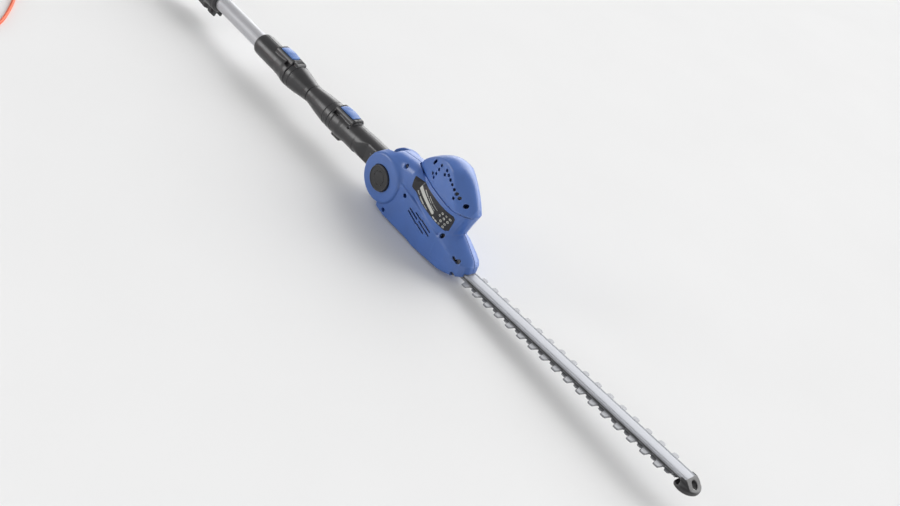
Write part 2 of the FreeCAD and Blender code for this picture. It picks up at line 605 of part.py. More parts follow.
def make_upper_socket():
    outer = turned([(-402, 0), (-402, 17.6), (-398, 20.0), (-394, 20.8), (-332, 20.8), (-316, 22.6),
                    (-308, 24.1), (UPPER_MOUTH, 24.1), (UPPER_MOUTH, 0)])
    solid = fuse(outer, latch_block(UPPER_MOUTH, -1))
    cavity = turned([(UPPER_MOUTH + 1, 0), (UPPER_MOUTH + 1, SPIGOT_R + 0.1), (-337, SPIGOT_R + 0.1),
                     (-337, 10.5), (-342, 10.5), (-342, TUBE_R), (-403, TUBE_R), (-403, 0)])
    solid = solid.cut(cavity).cut(latch_pocket(UPPER_MOUTH, -1))
    solid = solid.cut(rod((UPPER_MOUTH - 24, -10.2, 23.8), (0, 1, 0), 1.5, 20.4))
    near, far = halves(solid)
    add_pole("upper_socket_left", near)
    add_pole("upper_socket_right", far)
    connectors = []
    for face, inward in ((-334.4, -1), (-121.6, 1)):
        block = rod((face, 0, 0), (inward, 0, 0), 10.4, 7)
        pins = [rod((face, 4.5 * side, 0), (-inward, 0, 0), 1.3, 14) for side in (-1, 1)]
        connectors.append(fuse(block, *pins))
    add_pole("pin_connectors", Part.makeCompound(connectors))


# ---------------------------------------------------------------------------
# Telescopic pole
# ---------------------------------------------------------------------------
def make_pole():
    add_pole("lower_tube", pipe((-962, 0, 0), (1, 0, 0), TUBE_R, TUBE_R - TUBE_WALL, 962 - 342.2))
    add_pole("upper_tube", pipe((-1060, 0, 0), (1, 0, 0), OUTER_TUBE_R, OUTER_TUBE_R - OUTER_TUBE_WALL,
                                1060 + COLLAR_X - 14))
    inner = OUTER_TUBE_R - OUTER_TUBE_WALL
    guide = turned([(-966, 11), (-966, inner - 0.3), (-940, inner - 0.3), (-940, TUBE_R), (-962, TUBE_R),
                    (-962, 11)])
    add_pole("tube_guide", guide)
    add_pole("telescope_lead", pipe((-1055, 0, 0), (1, 0, 0), 9.0, 5.0, 85))
    front = COLLAR_X
    collar = turned([(front, TUBE_R + 0.35), (front, 18.6), (front - 3, 20.5), (front - 34, 20.5),
                     (front - 44, 19.2), (front - 44, OUTER_TUBE_R), (front - 14, OUTER_TUBE_R),
                     (front - 14, TUBE_R + 0.35)])
    ears = plate_xz([(front - 1, -18), (front - 34, -18), (front - 28, -31), (front - 7, -31)], -9, 9)
    ears = ears.cut(rod((front - 60, 0, 0), (1, 0, 0), 19.0, 80))
    ears = ears.cut(box(front - 60, front + 5, -5.3, 5.3, -40, -19.3))
    split = box(front - 60, front + 5, -0.8, 0.8, -30, -10)
    collar = fuse(collar, ears).cut(split)
    pin_at = (front - 17, -25.6)
    collar = collar.cut(rod((pin_at[0], -20, pin_at[1]), (0, 1, 0), 2.5, 40))
    pin = fuse(rod((pin_at[0], -10, pin_at[1]), (0, 1, 0), 2.5, 20),
               rod((pin_at[0], -11.5, pin_at[1]), (0, 1, 0), 4, 1.5))
    add_pole("lock_collar", Part.makeCompound([collar, pin]))
    cam = rod((pin_at[0], -4.9, pin_at[1]), (0, 1, 0), 4.6, 9.8)
    grip = plate_xz([(pin_at[0], -29), (pin_at[0], -23), (front - 36, -23.8), (front - 78, -24.5),
                     (front - 84, -27), (front - 80, -30.5), (front - 40, -31)], -4.9, 4.9)
    paddle = plate_xz([(front - 40, -31), (front - 40, -24), (front - 78, -24.5), (front - 84, -27),
                       (front - 80, -30.5)], -9, 9)
    lever = fuse(cam, grip, paddle).cut(rod((pin_at[0], -20, pin_at[1]), (0, 1, 0), 2.56, 40))
    add_pole("lock_lever", lever)


# ---------------------------------------------------------------------------
# Grip, eyelet and rear handle
# ---------------------------------------------------------------------------
def make_grip_and_eyelet():
    profile = [(-720, OUTER_TUBE_R), (-720, 20.4), (-724, 21.6), (-876, 21.6), (-880, 20.4), (-880, OUTER_TUBE_R)]
    add_pole("front_grip", turned(profile))
    ring = pipe((-928, 0, 0), (1, 0, 0), 20.8, OUTER_TUBE_R, 16)
    tab = plate_xz([(-925, 18), (-925, 24), (-929, 30), (-920, 38), (-911, 30), (-915, 24), (-915, 18)], -3, 3)
    tab = fuse(tab, rod((-920, -3, 31.5), (0, 1, 0), 8.5, 6))
    ears = box(-926, -914, -9, 9, -27.5, -18).cut(rod((-940, 0, 0), (1, 0, 0), 19, 40))
    clamp = fuse(ring, tab, ears).cut(rod((-920, -5, 31.5), (0, 1, 0), 5.0, 10))
    clamp = clamp.cut(box(-940, -900, -1.2, 1.2, -40, -10)).cut(rod((-920, -15, -23.5), (0, 1, 0), 2.0, 30))
    clamp = clamp.cut(rod((-940, 0, 0), (1, 0, 0), OUTER_TUBE_R, 40))
    screw = fuse(rod((-920, -9.2, -23.5), (0, 1, 0), 2.0, 18.4), rod((-920, -12, -23.5), (0, 1, 0), 3.6, 2.8))
    add_pole("strap_eyelet", Part.makeCompound([clamp, screw]))


HANDLE_SCREWS = [(-1074, -24), (-1084, 12), (-1180, 12), (-1250, 4), (-1252, -40)]
FINGER_OPENING = [(-1108, -17), (-1098, -42), (-1104, -46), (-1210, -46), (-1222, -38), (-1222, -20),
                  (-1216, -14), (-1118, -14)]


def handle_outline(inset):
    outer = [(HANDLE_FRONT - inset, 21 - inset), (HANDLE_FRONT - inset, -21 + inset),
             (-1050, -22 + inset), (-1084 - 0.3 * inset, -50), (-1092, -RIDE_HEIGHT + inset),
             (-1240, -RIDE_HEIGHT + inset), (HANDLE_REAR + inset, -46), (HANDLE_REAR + inset, 4 - inset),
             (-1262, 19 - inset), (-1120, 24 - inset), (-1080, 25 - inset)]
    return outer


def trigger_outline(clear):
    return [(-1116 + clear, -8 + clear), (-1116 + clear, -15), (-1122 + clear, -24 - clear),
            (-1134, -28 - clear), (-1150 - clear, -23 - clear), (-1156 - clear, -14), (-1156 - clear, -8 + clear)]


def make_handle():
    outer = plate_xz(handle_outline(0), -HANDLE_HALF, HANDLE_HALF)
    outer = rounded(outer, 6.0, lambda b: b.YLength < 0.01)
    opening = plate_xz(FINGER_OPENING, -HANDLE_HALF - 1, HANDLE_HALF + 1)
    outer = outer.cut(opening)
    wall = 3.0
    inner = plate_xz(handle_outline(wall), -HANDLE_HALF + wall, HANDLE_HALF - wall)
    rim = [(-1104, -20), (-1093.5, -44), (-1101, -49.2), (-1212, -49.2), (-1225.5, -40), (-1225.5, -19),
           (-1218, -10.6), (-1115, -10.6)]
    inner = inner.cut(plate_xz(rim, -HANDLE_HALF - 1, HANDLE_HALF + 1))
    inner = inner.cut(box(-1064, -990, -40, 40, -40, 40)).cut(box(-1400, -1276, -40, 40, -60, 60))
    solid = outer.cut(inner)
    solid = solid.cut(rod((-1060, 0, 0), (1, 0, 0), OUTER_TUBE_R, 80))
    solid = solid.cut(plate_xz(trigger_outline(0.6), -6.6, 6.6))
    solid = solid.cut(box(-1118, -1098, -6.4, 6.4, 15, 30))
    solid = solid.cut(rod((-1300, 0, -30), (1, 0, 0), 6.0, 30))
    cutters = []
    for x, z in HANDLE_SCREWS:
        solid = fuse(solid, rod((x, -16.5, z), (0, 1, 0), 4.6, 33))
        cutters.append(rod((x, -20, z), (0, 1, 0), 3.2, 8))
        cutters.append(rod((x, -13, z), (0, 1, 0), 1.6, 26))
    for i in range(6):
        cutters.append(box(-1248 + 6 * i, -1245.6 + 6 * i, -20, -15, -8, 8))
        cutters.append(box(-1248 + 6 * i, -1245.6 + 6 * i, 15, 20, -8, 8))
    solid = solid.cut(Part.makeCompound(cutters))
    hook = plate_xz([(-1286, 8), (-1304, 8), (-1304, -10), (-1299, -10), (-1299, 2), (-1286, 2)], -4, 4)
    seat = box(-1116, -1100, -16.5, 16.5, 3.0, 6.0)
    trigger_pin = rod((-1119.5, -16.5, -10.5), (0, 1, 0), 1.5, 33)
    solid = fuse(solid, hook, seat, trigger_pin)
    near, far = halves(solid)
    add_pole("handle_shell_left", near)
    add_pole("handle_shell_right", far)
    screws = [fuse(rod((x, -14.5, z), (0, 1, 0), 3.0, 2.4), rod((x, -12.2, z), (0, 1, 0), 1.6, 24))
              for x, z in HANDLE_SCREWS]
    add_pole("handle_screws", Part.makeCompound(screws))


def make_controls():
    trigger = plate_xz(trigger_outline(0), -6.0, 6.0)
    trigger = rounded(trigger, 1.5, lambda b: b.YLength < 0.01 and b.ZMax < -12)
    trigger = trigger.cut(rod((-1119.5, -10, -10.5), (0, 1, 0), 1.55, 20))
    add_pole("trigger", trigger)
    add_pole("trigger_spring", coil_spring((-1150, 0, -7.4), (0, 0, 1), 2.6, 0.8, 6.6, 4))
    add_pole("power_switch", box(-1156, -1128, -9, 9, 0, 14))
    button = fuse(box(-1117.4, -1098.6, -5.8, 5.8, 16, 28.5), box(-1119.5, -1096.5, -5.8, 5.8, 14.6, 17.0))
    button = rounded(button, 1.5, lambda b: b.ZMin > 28.4)
    add_pole("lock_off_button", button)
    add_pole("lock_off_spring", coil_spring((-1108, 0, 6.4), (0, 0, 1), 2.8, 0.8, 7.6, 4))


def make_sleeve():
    waist = pipe((HANDLE_REAR - 2, 0, -30), (1, 0, 0), 5.9, CORD_D / 2, 8)
    tail = Part.makeCone(6.8, 4.0, SLEEVE_LENGTH, V(HANDLE_REAR, 0, -30), V(-1, 0, 0))
    tail = tail.cut(rod((HANDLE_REAR - 60, 0, -30), (1, 0, 0), CORD_D / 2, 80))
    add_pole("cable_sleeve", fuse(waist, tail))


# ---------------------------------------------------------------------------
# Mains lead: one stretch to the coil, the coil, a tail and the plug
# ---------------------------------------------------------------------------
CORD_Z = CORD_D / 2 - RIDE_HEIGHT
COIL_OUTER = COIL_MID_R + CORD_D * (COIL_COLUMNS - 1) / 2
COIL_ENTRY_Y = COIL_CENTRE[1] - COIL_OUTER
LEAD_ROUTE = [
    (HANDLE_REAR - SLEEVE_LENGTH, 0.0, -30.0), (-1352.0, 0.0, -31.5), (-1378.0, -3.0, -40.0),
    (-1408.0, -14.0, CORD_Z), (-1440.0, -42.0, CORD_Z), (-1462.0, -86.0, CORD_Z),
    (-1463.0, -140.0, CORD_Z), (-1440.0, -190.0, CORD_Z), (-1398.0, -226.0, CORD_Z),
    (-1340.0, -247.0, CORD_Z), (-1268.0, -252.0, CORD_Z), (-1190.0, -243.0, CORD_Z),
    (-1108.0, -226.0, CORD_Z), (-1026.0, -217.0, CORD_Z), (-946.0, -222.0, CORD_Z),
    (-868.0, -240.0, CORD_Z), (-792.0, -267.0, CORD_Z), (-718.0, -302.0, CORD_Z),
    (-652.0, -336.0, CORD_Z), (-598.0, -371.0, CORD_Z), (-554.0, -407.0, CORD_Z),
    (-530.0, -452.0, CORD_Z), (-536.0, -501.0, CORD_Z), (-571.0, -535.0, CORD_Z),
    (-622.0, -549.0, CORD_Z), (-686.0, COIL_ENTRY_Y - 0.4, CORD_Z),
    (COIL_CENTRE[0], COIL_ENTRY_Y, CORD_Z)]
TAIL_TOP = CORD_Z + CORD_D * (COIL_LAYERS - 1)
TAIL_ROUTE = [
    (COIL_CENTRE[0], COIL_ENTRY_Y, TAIL_TOP), (-790.0, COIL_ENTRY_Y - 1.5, TAIL_TOP - 2.0),
    (-820.0, COIL_ENTRY_Y - 0.5, TAIL_TOP - 9.0), (-850.0, COIL_ENTRY_Y + 4.0, CORD_Z + 2.5),
    (-880.0, COIL_ENTRY_Y + 12.0, CORD_Z + 10.5)]


def cord_tube(route):
    """Tube of straight runs joined by tangent arcs, with the arcs' radii and its length."""
    points = [V(*p) for p in route]
    edges = []
    radii = []
    here = points[0]
    for before, corner, after in zip(points, points[1:], points[2:]):
        arriving = (corner - before).normalize()
        leaving = (after - corner).normalize()
        turn = arriving.getAngle(leaving)
        cut = 0.45 * min((corner - before).Length, (after - corner).Length)
        radii.append(cut / math.tan(turn / 2))
        start = corner - arriving * cut
        end = corner + leaving * cut
        inward = (leaving - arriving).normalize()
        to_centre = radii[-1] / math.cos(turn / 2)
        middle = corner + inward * (to_centre - radii[-1])
        edges.append(Part.LineSegment(here, start).toShape())
        edges.append(Part.Arc(start, middle, end).toShape())
        here = end
    edges.append(Part.LineSegment(here, points[-1]).toShape())
    path = Part.Wire(edges)
    aim = (points[1] - points[0]).normalize()
    profile = Part.Wire(Part.makeCircle(CORD_D / 2, points[0], aim))
    tube = path.makePipeShell([profile], True, False)
    length = sum(edge.Length for edge in edges)
    expected = math.pi * CORD_D ** 2 / 4 * length
    print("cord radii", [round(r) for r in radii], "length", round(length), "volume ratio",
          round(tube.Volume / expected, 4))
    return tube


def make_cord():
    add_pole("cord_lead", cord_tube(LEAD_ROUTE))
    add_pole("cord_tail", cord_tube(TAIL_ROUTE))
    half = CORD_D * COIL_COLUMNS / 2
    coil = pipe(COIL_CENTRE + (-RIDE_HEIGHT,), (0, 0, 1), COIL_MID_R + half, COIL_MID_R - half,
                CORD_D * COIL_LAYERS)
    add_pole("cord_coil", coil)
    make_plug()


def make_plug():
    """Two-pin moulded plug lying on the floor, its pins pointing away from the lead."""
    end = V(*TAIL_ROUTE[-1])
    aim = end - V(*TAIL_ROUTE[-2])
    aim.z = 0
    aim.normalize()
    heading = math.degrees(math.atan2(aim.y, aim.x))
    axis_z = end.z
    neck = Part.makeCone(4.4, 7.0, 16, V(0, 0, 0), V(1, 0, 0))
    body = Part.makeCone(8.5, 13.0, 22, V(12, 0, 0), V(1, 0, 0))
    face = rod((34, 0, 0), (1, 0, 0), 13.4, 6)
    plug = fuse(neck, body, face)
    pins = [rod((40, 9.5 * side, 0), (1, 0, 0), 2.4, 19) for side in (-1, 1)]
    plug = Part.makeCompound([plug] + pins)
    plug.rotate(V(0, 0, 0), V(0, 0, 1), heading)
    plug.translate(V(end.x, end.y, axis_z))
    add_pole("plug", plug)


# ---------------------------------------------------------------------------
# Write
# ---------------------------------------------------------------------------
def build():
    make_head_shells()
    make_motor_cap()
    make_label()
    make_pivot()
    make_motor()
    make_gearbox()
    make_blades()
    make_arm()
    make_latch("lower", LOWER_MOUTH, 1)
    make_adapter()
    make_upper_socket()
    make_latch("upper", UPPER_MOUTH, -1)
    make_latch_pins()
    make_pole()
    make_grip_and_eyelet()
    make_handle()
    make_controls()
    make_sleeve()
    make_cord()


build()
os.makedirs("parts", exist_ok=True)
for name, shape in parts.items():
    solids = shape.Solids
    if not shape.isValid() or not solids:
        print("CHECK", name, "valid", shape.isValid(), "solids", len(solids))
    shape.exportStep("parts/" + name + ".step")
body = [shape for name, shape in parts.items() if not name.startswith(("cord", "plug"))]
print(len(parts), "nodes", Part.makeCompound(body).BoundBox)
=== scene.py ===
import json
import math

import bmesh
import bpy
import numpy as np
from mathutils import Matrix, Vector
from mathutils.geometry import delaunay_2d_cdt


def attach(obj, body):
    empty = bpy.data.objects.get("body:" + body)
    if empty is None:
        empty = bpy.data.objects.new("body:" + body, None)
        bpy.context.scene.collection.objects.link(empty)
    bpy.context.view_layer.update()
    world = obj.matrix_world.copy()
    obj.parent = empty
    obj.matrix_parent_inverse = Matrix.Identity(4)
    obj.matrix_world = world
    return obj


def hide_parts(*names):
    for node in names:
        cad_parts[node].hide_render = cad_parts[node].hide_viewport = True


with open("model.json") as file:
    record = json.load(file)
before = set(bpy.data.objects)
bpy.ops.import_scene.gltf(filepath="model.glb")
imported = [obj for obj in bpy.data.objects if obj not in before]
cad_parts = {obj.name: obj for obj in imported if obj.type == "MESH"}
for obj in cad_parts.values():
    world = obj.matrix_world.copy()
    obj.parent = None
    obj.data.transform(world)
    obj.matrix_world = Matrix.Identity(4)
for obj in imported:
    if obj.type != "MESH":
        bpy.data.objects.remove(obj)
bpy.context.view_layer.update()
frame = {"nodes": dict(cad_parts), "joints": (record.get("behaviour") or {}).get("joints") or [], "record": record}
nodes = frame["nodes"]
joints = {joint["name"]: joint for joint in frame["joints"]}

# ------------------------------
# Pole hedge trimmer.  Shapes are given in millimetres in two frames that share
# the tilt pivot as their origin: the pole frame, along the model's axes, and the
# head frame, whose X runs along the blade.
# ------------------------------
PIVOT = Vector(joints["head_tilt"]["pos_m"])
BLADE_DIR = Vector(joints["upper_blade_slide"]["axis"]).normalized()
ACROSS = Vector((0, 1, 0))
MM = 0.001


def frame_matrix(along):
    up = along.cross(ACROSS)
    turn = Matrix((along, ACROSS, up)).transposed().to_4x4()
    return Matrix.Translation(PIVOT) @ turn @ Matrix.Scale(MM, 4)


POLE = frame_matrix(Vector((1, 0, 0)))
HEAD = frame_matrix(BLADE_DIR)


# ------------------------------
# Materials
# ------------------------------
finishes = {}


def new_material(name):
    material = bpy.data.materials.new(name)
    material.use_nodes = True
    finishes[name] = material
    return material.node_tree, material.node_tree.nodes["Principled BSDF"]


def node(tree, kind, **values):
    made = tree.nodes.new(kind)
    for key, value in values.items():
        if key in made.inputs:
            made.inputs[key].default_value = value
        else:
            setattr(made, key, value)
    return made


def object_coordinates(tree, scale=(1, 1, 1)):
    place = node(tree, "ShaderNodeTexCoord")
    mapping = node(tree, "ShaderNodeMapping")
    mapping.inputs["Scale"].default_value = scale
    tree.links.new(place.outputs["Object"], mapping.inputs["Vector"])
    return mapping.outputs["Vector"]


def noise(tree, vector, scale, detail=3.0, rough=0.55):
    made = node(tree, "ShaderNodeTexNoise", Scale=scale, Detail=detail, Roughness=rough)
    tree.links.new(vector, made.inputs["Vector"])
    return made.outputs["Fac"]


def ramp(tree, factor, stops):
    """Colour ramp from (place, colour) stops."""
    made = node(tree, "ShaderNodeValToRGB")
    elements = made.color_ramp.elements
    while len(elements) < len(stops):
        elements.new(0.5)
    for element, (place, colour) in zip(elements, stops):
        element.position = place
        element.color = (*colour, 1)
    tree.links.new(factor, made.inputs["Fac"])
    return made.outputs["Color"]


def spread(tree, factor, low, high, start=0.3, stop=0.7, **settings):
    """Value from low to high as the factor goes from start to stop."""
    made = node(tree, "ShaderNodeMapRange", **settings)
    for socket, value in zip(("From Min", "From Max", "To Min", "To Max"), (start, stop, low, high)):
        made.inputs[socket].default_value = value
    tree.links.new(factor, made.inputs["Value"])
    return made.outputs["Result"]


def bump(tree, shader, height, distance, strength):
    made = node(tree, "ShaderNodeBump", Strength=strength, Distance=distance)
    tree.links.new(height, made.inputs["Height"])
    tree.links.new(made.outputs["Normal"], shader.inputs["Normal"])


def scaled(colour, amount):
    return tuple(min(1.0, max(0.0, channel * amount)) for channel in colour)


def plastic(name, colour, rough=(0.32, 0.42), grain=0.05, grain_size=1600, edge=0.06, sheen=0.5):
    """Moulded plastic: fine spark-eroded grain, slight mottling, edges rubbed paler."""
    tree, shader = new_material(name)
    place = object_coordinates(tree)
    mottle = noise(tree, place, 28, 4)
    base = ramp(tree, mottle, [(0.3, scaled(colour, 0.93)), (0.7, scaled(colour, 1.06))])
    geometry = node(tree, "ShaderNodeNewGeometry")
    worn = spread(tree, geometry.outputs["Pointiness"], 0, edge * 4, 0.515, 0.60)
    mix = node(tree, "ShaderNodeMix", data_type="RGBA")
    pale = tuple(0.55 * channel + 0.45 for channel in colour)
    mix.inputs[7].default_value = (*pale, 1)
    tree.links.new(worn, mix.inputs["Factor"])
    tree.links.new(base, mix.inputs[6])
    tree.links.new(mix.outputs[2], shader.inputs["Base Color"])
    smudges = noise(tree, place, 60, 5)
    tree.links.new(spread(tree, smudges, *rough), shader.inputs["Roughness"])
    fine = noise(tree, place, grain_size, 2)
    bump(tree, shader, fine, 0.0001, grain)
    shader.inputs["Specular IOR Level"].default_value = sheen


def metal(name, colour, rough=(0.25, 0.4), along=(1, 1, 1), streak=900, depth=0.06, metallic=1.0):
    """Metal with grain stretched along one direction."""
    tree, shader = new_material(name)
    stretched = object_coordinates(tree, along)
    lines = noise(tree, stretched, streak, 4, 0.7)
    tint = ramp(tree, lines, [(0.35, scaled(colour, 0.9)), (0.65, scaled(colour, 1.07))])
    tree.links.new(tint, shader.inputs["Base Color"])
    tree.links.new(spread(tree, lines, *rough), shader.inputs["Roughness"])
    bump(tree, shader, lines, 0.0001, depth)
    shader.inputs["Metallic"].default_value = metallic


def rubbery(name, colour, rough=(0.55, 0.75), pore=900, depth=0.5, distance=0.0002):
    """Foam or soft sheath with a fine closed-cell surface."""
    tree, shader = new_material(name)
    place = object_coordinates(tree)
    cells = node(tree, "ShaderNodeTexVoronoi", Scale=pore)
    tree.links.new(place, cells.inputs["Vector"])
    mottle = noise(tree, place, 90, 4)
    tint = ramp(tree, mottle, [(0.3, scaled(colour, 0.85)), (0.7, scaled(colour, 1.15))])
    tree.links.new(tint, shader.inputs["Base Color"])
    tree.links.new(spread(tree, mottle, *rough), shader.inputs["Roughness"])
    bump(tree, shader, cells.outputs["Distance"], distance, depth)


LENGTHWISE = (0.03, 1, 1)
plastic("housing_blue", (0.064, 0.158, 0.480), rough=(0.30, 0.37), edge=0.05, sheen=0.85)
plastic("button_blue", (0.085, 0.190, 0.500), rough=(0.28, 0.36))
plastic("coupling_black", (0.024, 0.023, 0.025), rough=(0.28, 0.36), edge=0.03, sheen=0.7)
plastic("disc_black", (0.035, 0.035, 0.037), rough=(0.42, 0.52), grain=0.12, edge=0.05)
plastic("label_black", (0.022, 0.022, 0.026), rough=(0.16, 0.24), grain=0.01, edge=0.0)
metal("pole_aluminium", (0.54, 0.545, 0.57), (0.46, 0.54), LENGTHWISE, 700, 0.03, 0.3)
metal("bar_aluminium", (0.40, 0.41, 0.44), (0.44, 0.54), LENGTHWISE, 900, 0.05, 0.35)
metal("blade_steel", (0.29, 0.295, 0.31), (0.38, 0.50), (1, 0.05, 1), 1400, 0.08, 0.5)
metal("fastener_steel", (0.16, 0.16, 0.17), (0.35, 0.5))
metal("machined_steel", (0.52, 0.52, 0.54), (0.2, 0.32), (1, 1, 0.05))
metal("cast_aluminium", (0.52, 0.52, 0.54), (0.45, 0.6), (1, 1, 1), 300, 0.3)
metal("bearing_bronze", (0.62, 0.42, 0.2), (0.35, 0.5), (1, 1, 1), 1800, 0.2)
metal("winding_copper", (0.62, 0.28, 0.13), (0.25, 0.35), (1, 1, 0.04), 500, 0.4)
rubbery("grip_foam", (0.028, 0.028, 0.03), depth=0.6)
plastic("handle_black", (0.034, 0.034, 0.037), rough=(0.36, 0.48), grain=0.12)
rubbery("cord_orange", (0.78, 0.115, 0.030), (0.34, 0.46), 1500, 0.08, 0.0001)
plastic("plug_black", (0.028, 0.028, 0.03), rough=(0.22, 0.32), grain=0.03)
plastic("nylon_white", (0.62, 0.62, 0.58), rough=(0.4, 0.5))
slot_of = {part["node"]: part["material_slot"] for part in frame["record"]["subparts"]}
for name, piece in nodes.items():
    piece.data.materials.clear()
    piece.data.materials.append(finishes[slot_of[name]])


def added(name, data):
    """New object in the scene."""
    made = bpy.data.objects.new(name, data)
    bpy.context.scene.collection.objects.link(made)
    return made


def registered(piece, body, replaced):
    """Parent a piece to the empty of the body it rides on and hide the plain pieces it stands for."""
    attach(piece, body)
    if replaced:
        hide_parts(*replaced)
    return piece


# ------------------------------
# Shapes from distance fields
# ------------------------------
# A field gives the signed distance from points to a surface in millimetres,
# negative inside, from arrays of x, y and z.

def smin(a, b, blend):
    share = np.clip(0.5 + 0.5 * (b - a) / blend, 0, 1)
    return b + (a - b) * share - blend * share * (1 - share)


def smax(a, b, blend):
    return -smin(-a, -b, blend)


def cut(body, tool, edge=0.6):
    return smax(body, -tool, edge)


def smooth_outline(points, steps=5):
    """Closed Catmull-Rom curve through the points."""
    points = np.array(points, float)
    before, after, beyond = np.roll(points, 1, 0), np.roll(points, -1, 0), np.roll(points, -2, 0)
    curve = []
    for share in np.arange(steps) / steps:
        curve.append(0.5 * (2 * points + (after - before) * share
                            + (2 * before - 5 * points + 4 * after - beyond) * share ** 2
                            + (3 * points - before - 3 * after + beyond) * share ** 3))
    return np.stack(curve, 1).reshape(-1, 2)


def polygon(x, z, outline):
    """Signed distance to a closed outline in a plane."""
    outline = np.array(outline, float)
    nearest = np.full(x.shape, 1e9)
    inside = np.zeros(x.shape, bool)
    for (ax, az), (bx, bz) in zip(outline, np.roll(outline, -1, 0)):
        ex, ez = bx - ax, bz - az
        wx, wz = x - ax, z - az
        share = np.clip((wx * ex + wz * ez) / (ex * ex + ez * ez), 0, 1)
        nearest = np.minimum(nearest, (wx - ex * share) ** 2 + (wz - ez * share) ** 2)
        crossing = (az > z) != (bz > z)
        if ez:
            inside ^= crossing & (x < ax + ex * (z - az) / ez)
    return np.where(inside, -1, 1) * np.sqrt(nearest)


def disc(x, z, cx, cz, radius):
    return np.hypot(x - cx, z - cz) - radius


def slab(value, low, high):
    return np.abs(value - (low + high) / 2) - (high - low) / 2


def block(x, y, z, spans, edge):
    """Rounded box from three (low, high) spans."""
    return smax(smax(slab(x, *spans[0]), slab(y, *spans[1]), edge), slab(z, *spans[2]), edge)


def bored(form, x, y, z, centres, radius, depth, edge):
    """Cut blind holes from both sides, down to a depth from the middle plane."""
    for cx, cz in centres:
        form = cut(form, smax(disc(x, z, cx, cz, radius), depth - np.abs(y), 0.2), edge)
    return form


def revolve(x, y, z, profile):
    """Signed distance to an outline of (x, radius) points turned about X."""
    mirrored = list(profile) + [(px, -pr) for px, pr in reversed(profile) if pr]
    return polygon(x, np.hypot(y, z), mirrored)


TETRAHEDRON = np.array([(1, -1, -1), (-1, -1, 1), (-1, 1, -1), (1, 1, 1)])


def gradient(field, points, step=0.1):
    """Value and slope of a field, from four samples around each point."""
    samples = [field(*(points + step * corner).T) for corner in TETRAHEDRON]
    slope = sum(value[:, None] * corner for value, corner in zip(samples, TETRAHEDRON)) / (4 * step)
    return sum(samples) / 4, slope


BLOCK = 4
CORNERS = np.array([(i, j, k) for i in (0, 1) for j in (0, 1) for k in (0, 1)])


def sample(field, low, step, blocks):
    """Field values on a fine grid, worked out only near the surface."""
    low = np.array(low, float)
    corner_axes = [low[a] + step * BLOCK * np.arange(blocks[a] + 1) for a in range(3)]
    grid = np.stack(np.meshgrid(*corner_axes, indexing="ij"), -1)
    coarse = field(*grid.reshape(-1, 3).T).reshape(grid.shape[:3])
    around = np.stack([coarse[i:i + blocks[0], j:j + blocks[1], k:k + blocks[2]] for i, j, k in CORNERS])
    near = np.abs(around).min(0) < 1.05 * step * BLOCK
    values = np.repeat(np.repeat(np.repeat(around[0], BLOCK, 0), BLOCK, 1), BLOCK, 2)
    values = np.pad(values, ((0, 1), (0, 1), (0, 1)), mode="edge")
    chosen = np.argwhere(near)
    local = np.stack(np.meshgrid(*[np.arange(BLOCK + 1)] * 3, indexing="ij"), -1).reshape(-1, 3)
    for start in range(0, len(chosen), 4000):
        index = (chosen[start:start + 4000, None] * BLOCK + local[None]).reshape(-1, 3)
        values[tuple(index.T)] = field(*(low + step * index).T)
    return values


def surface_net(values, low, step):
    """Vertices and quads of the zero surface of a grid of values."""
    inside = values < 0
    nx, ny, nz = (n - 1 for n in values.shape)
    corner_inside = np.stack([inside[i:i + nx, j:j + ny, k:k + nz] for i, j, k in CORNERS])
    total = corner_inside.sum(0)
    cells = np.argwhere((total > 0) & (total < 8))
    number = np.full((nx, ny, nz), -1)
    number[tuple(cells.T)] = np.arange(len(cells))
    at = [values[tuple((cells + corner).T)] for corner in CORNERS]
    place, count = np.zeros((len(cells), 3)), np.zeros(len(cells))
    for a in range(8):
        for b in range(a + 1, 8):
            if np.abs(CORNERS[a] - CORNERS[b]).sum() != 1:
                continue
            crossed = (at[a] < 0) != (at[b] < 0)
            share = np.where(crossed, at[a] / np.where(crossed, at[a] - at[b], 1), 0)
            place += crossed[:, None] * (CORNERS[a] + share[:, None] * (CORNERS[b] - CORNERS[a]))
            count += crossed
    vertices = np.array(low) + step * (cells + place / count[:, None])
    quads = []
    for axis in range(3):
        u, v = (axis + 1) % 3, (axis + 2) % 3
        ahead = np.roll(inside, -1, axis)
        flips = np.argwhere(inside != ahead)
        flips = flips[(flips[:, axis] < values.shape[axis] - 1) & (flips[:, u] > 0) & (flips[:, v] > 0)]
        flips = flips[(flips[:, u] < values.shape[u] - 1) & (flips[:, v] < values.shape[v] - 1)]
        outward = inside[tuple(flips.T)]
        ring = []
        for du, dv in ((0, 0), (-1, 0), (-1, -1), (0, -1)):
            cell = flips.copy()
            cell[:, u] += du
            cell[:, v] += dv
            ring.append(number[tuple(cell.T)])
        ring = np.stack(ring, 1)
        ring[~outward] = ring[~outward][:, ::-1]
        quads.append(ring)
    return vertices, np.concatenate(quads)


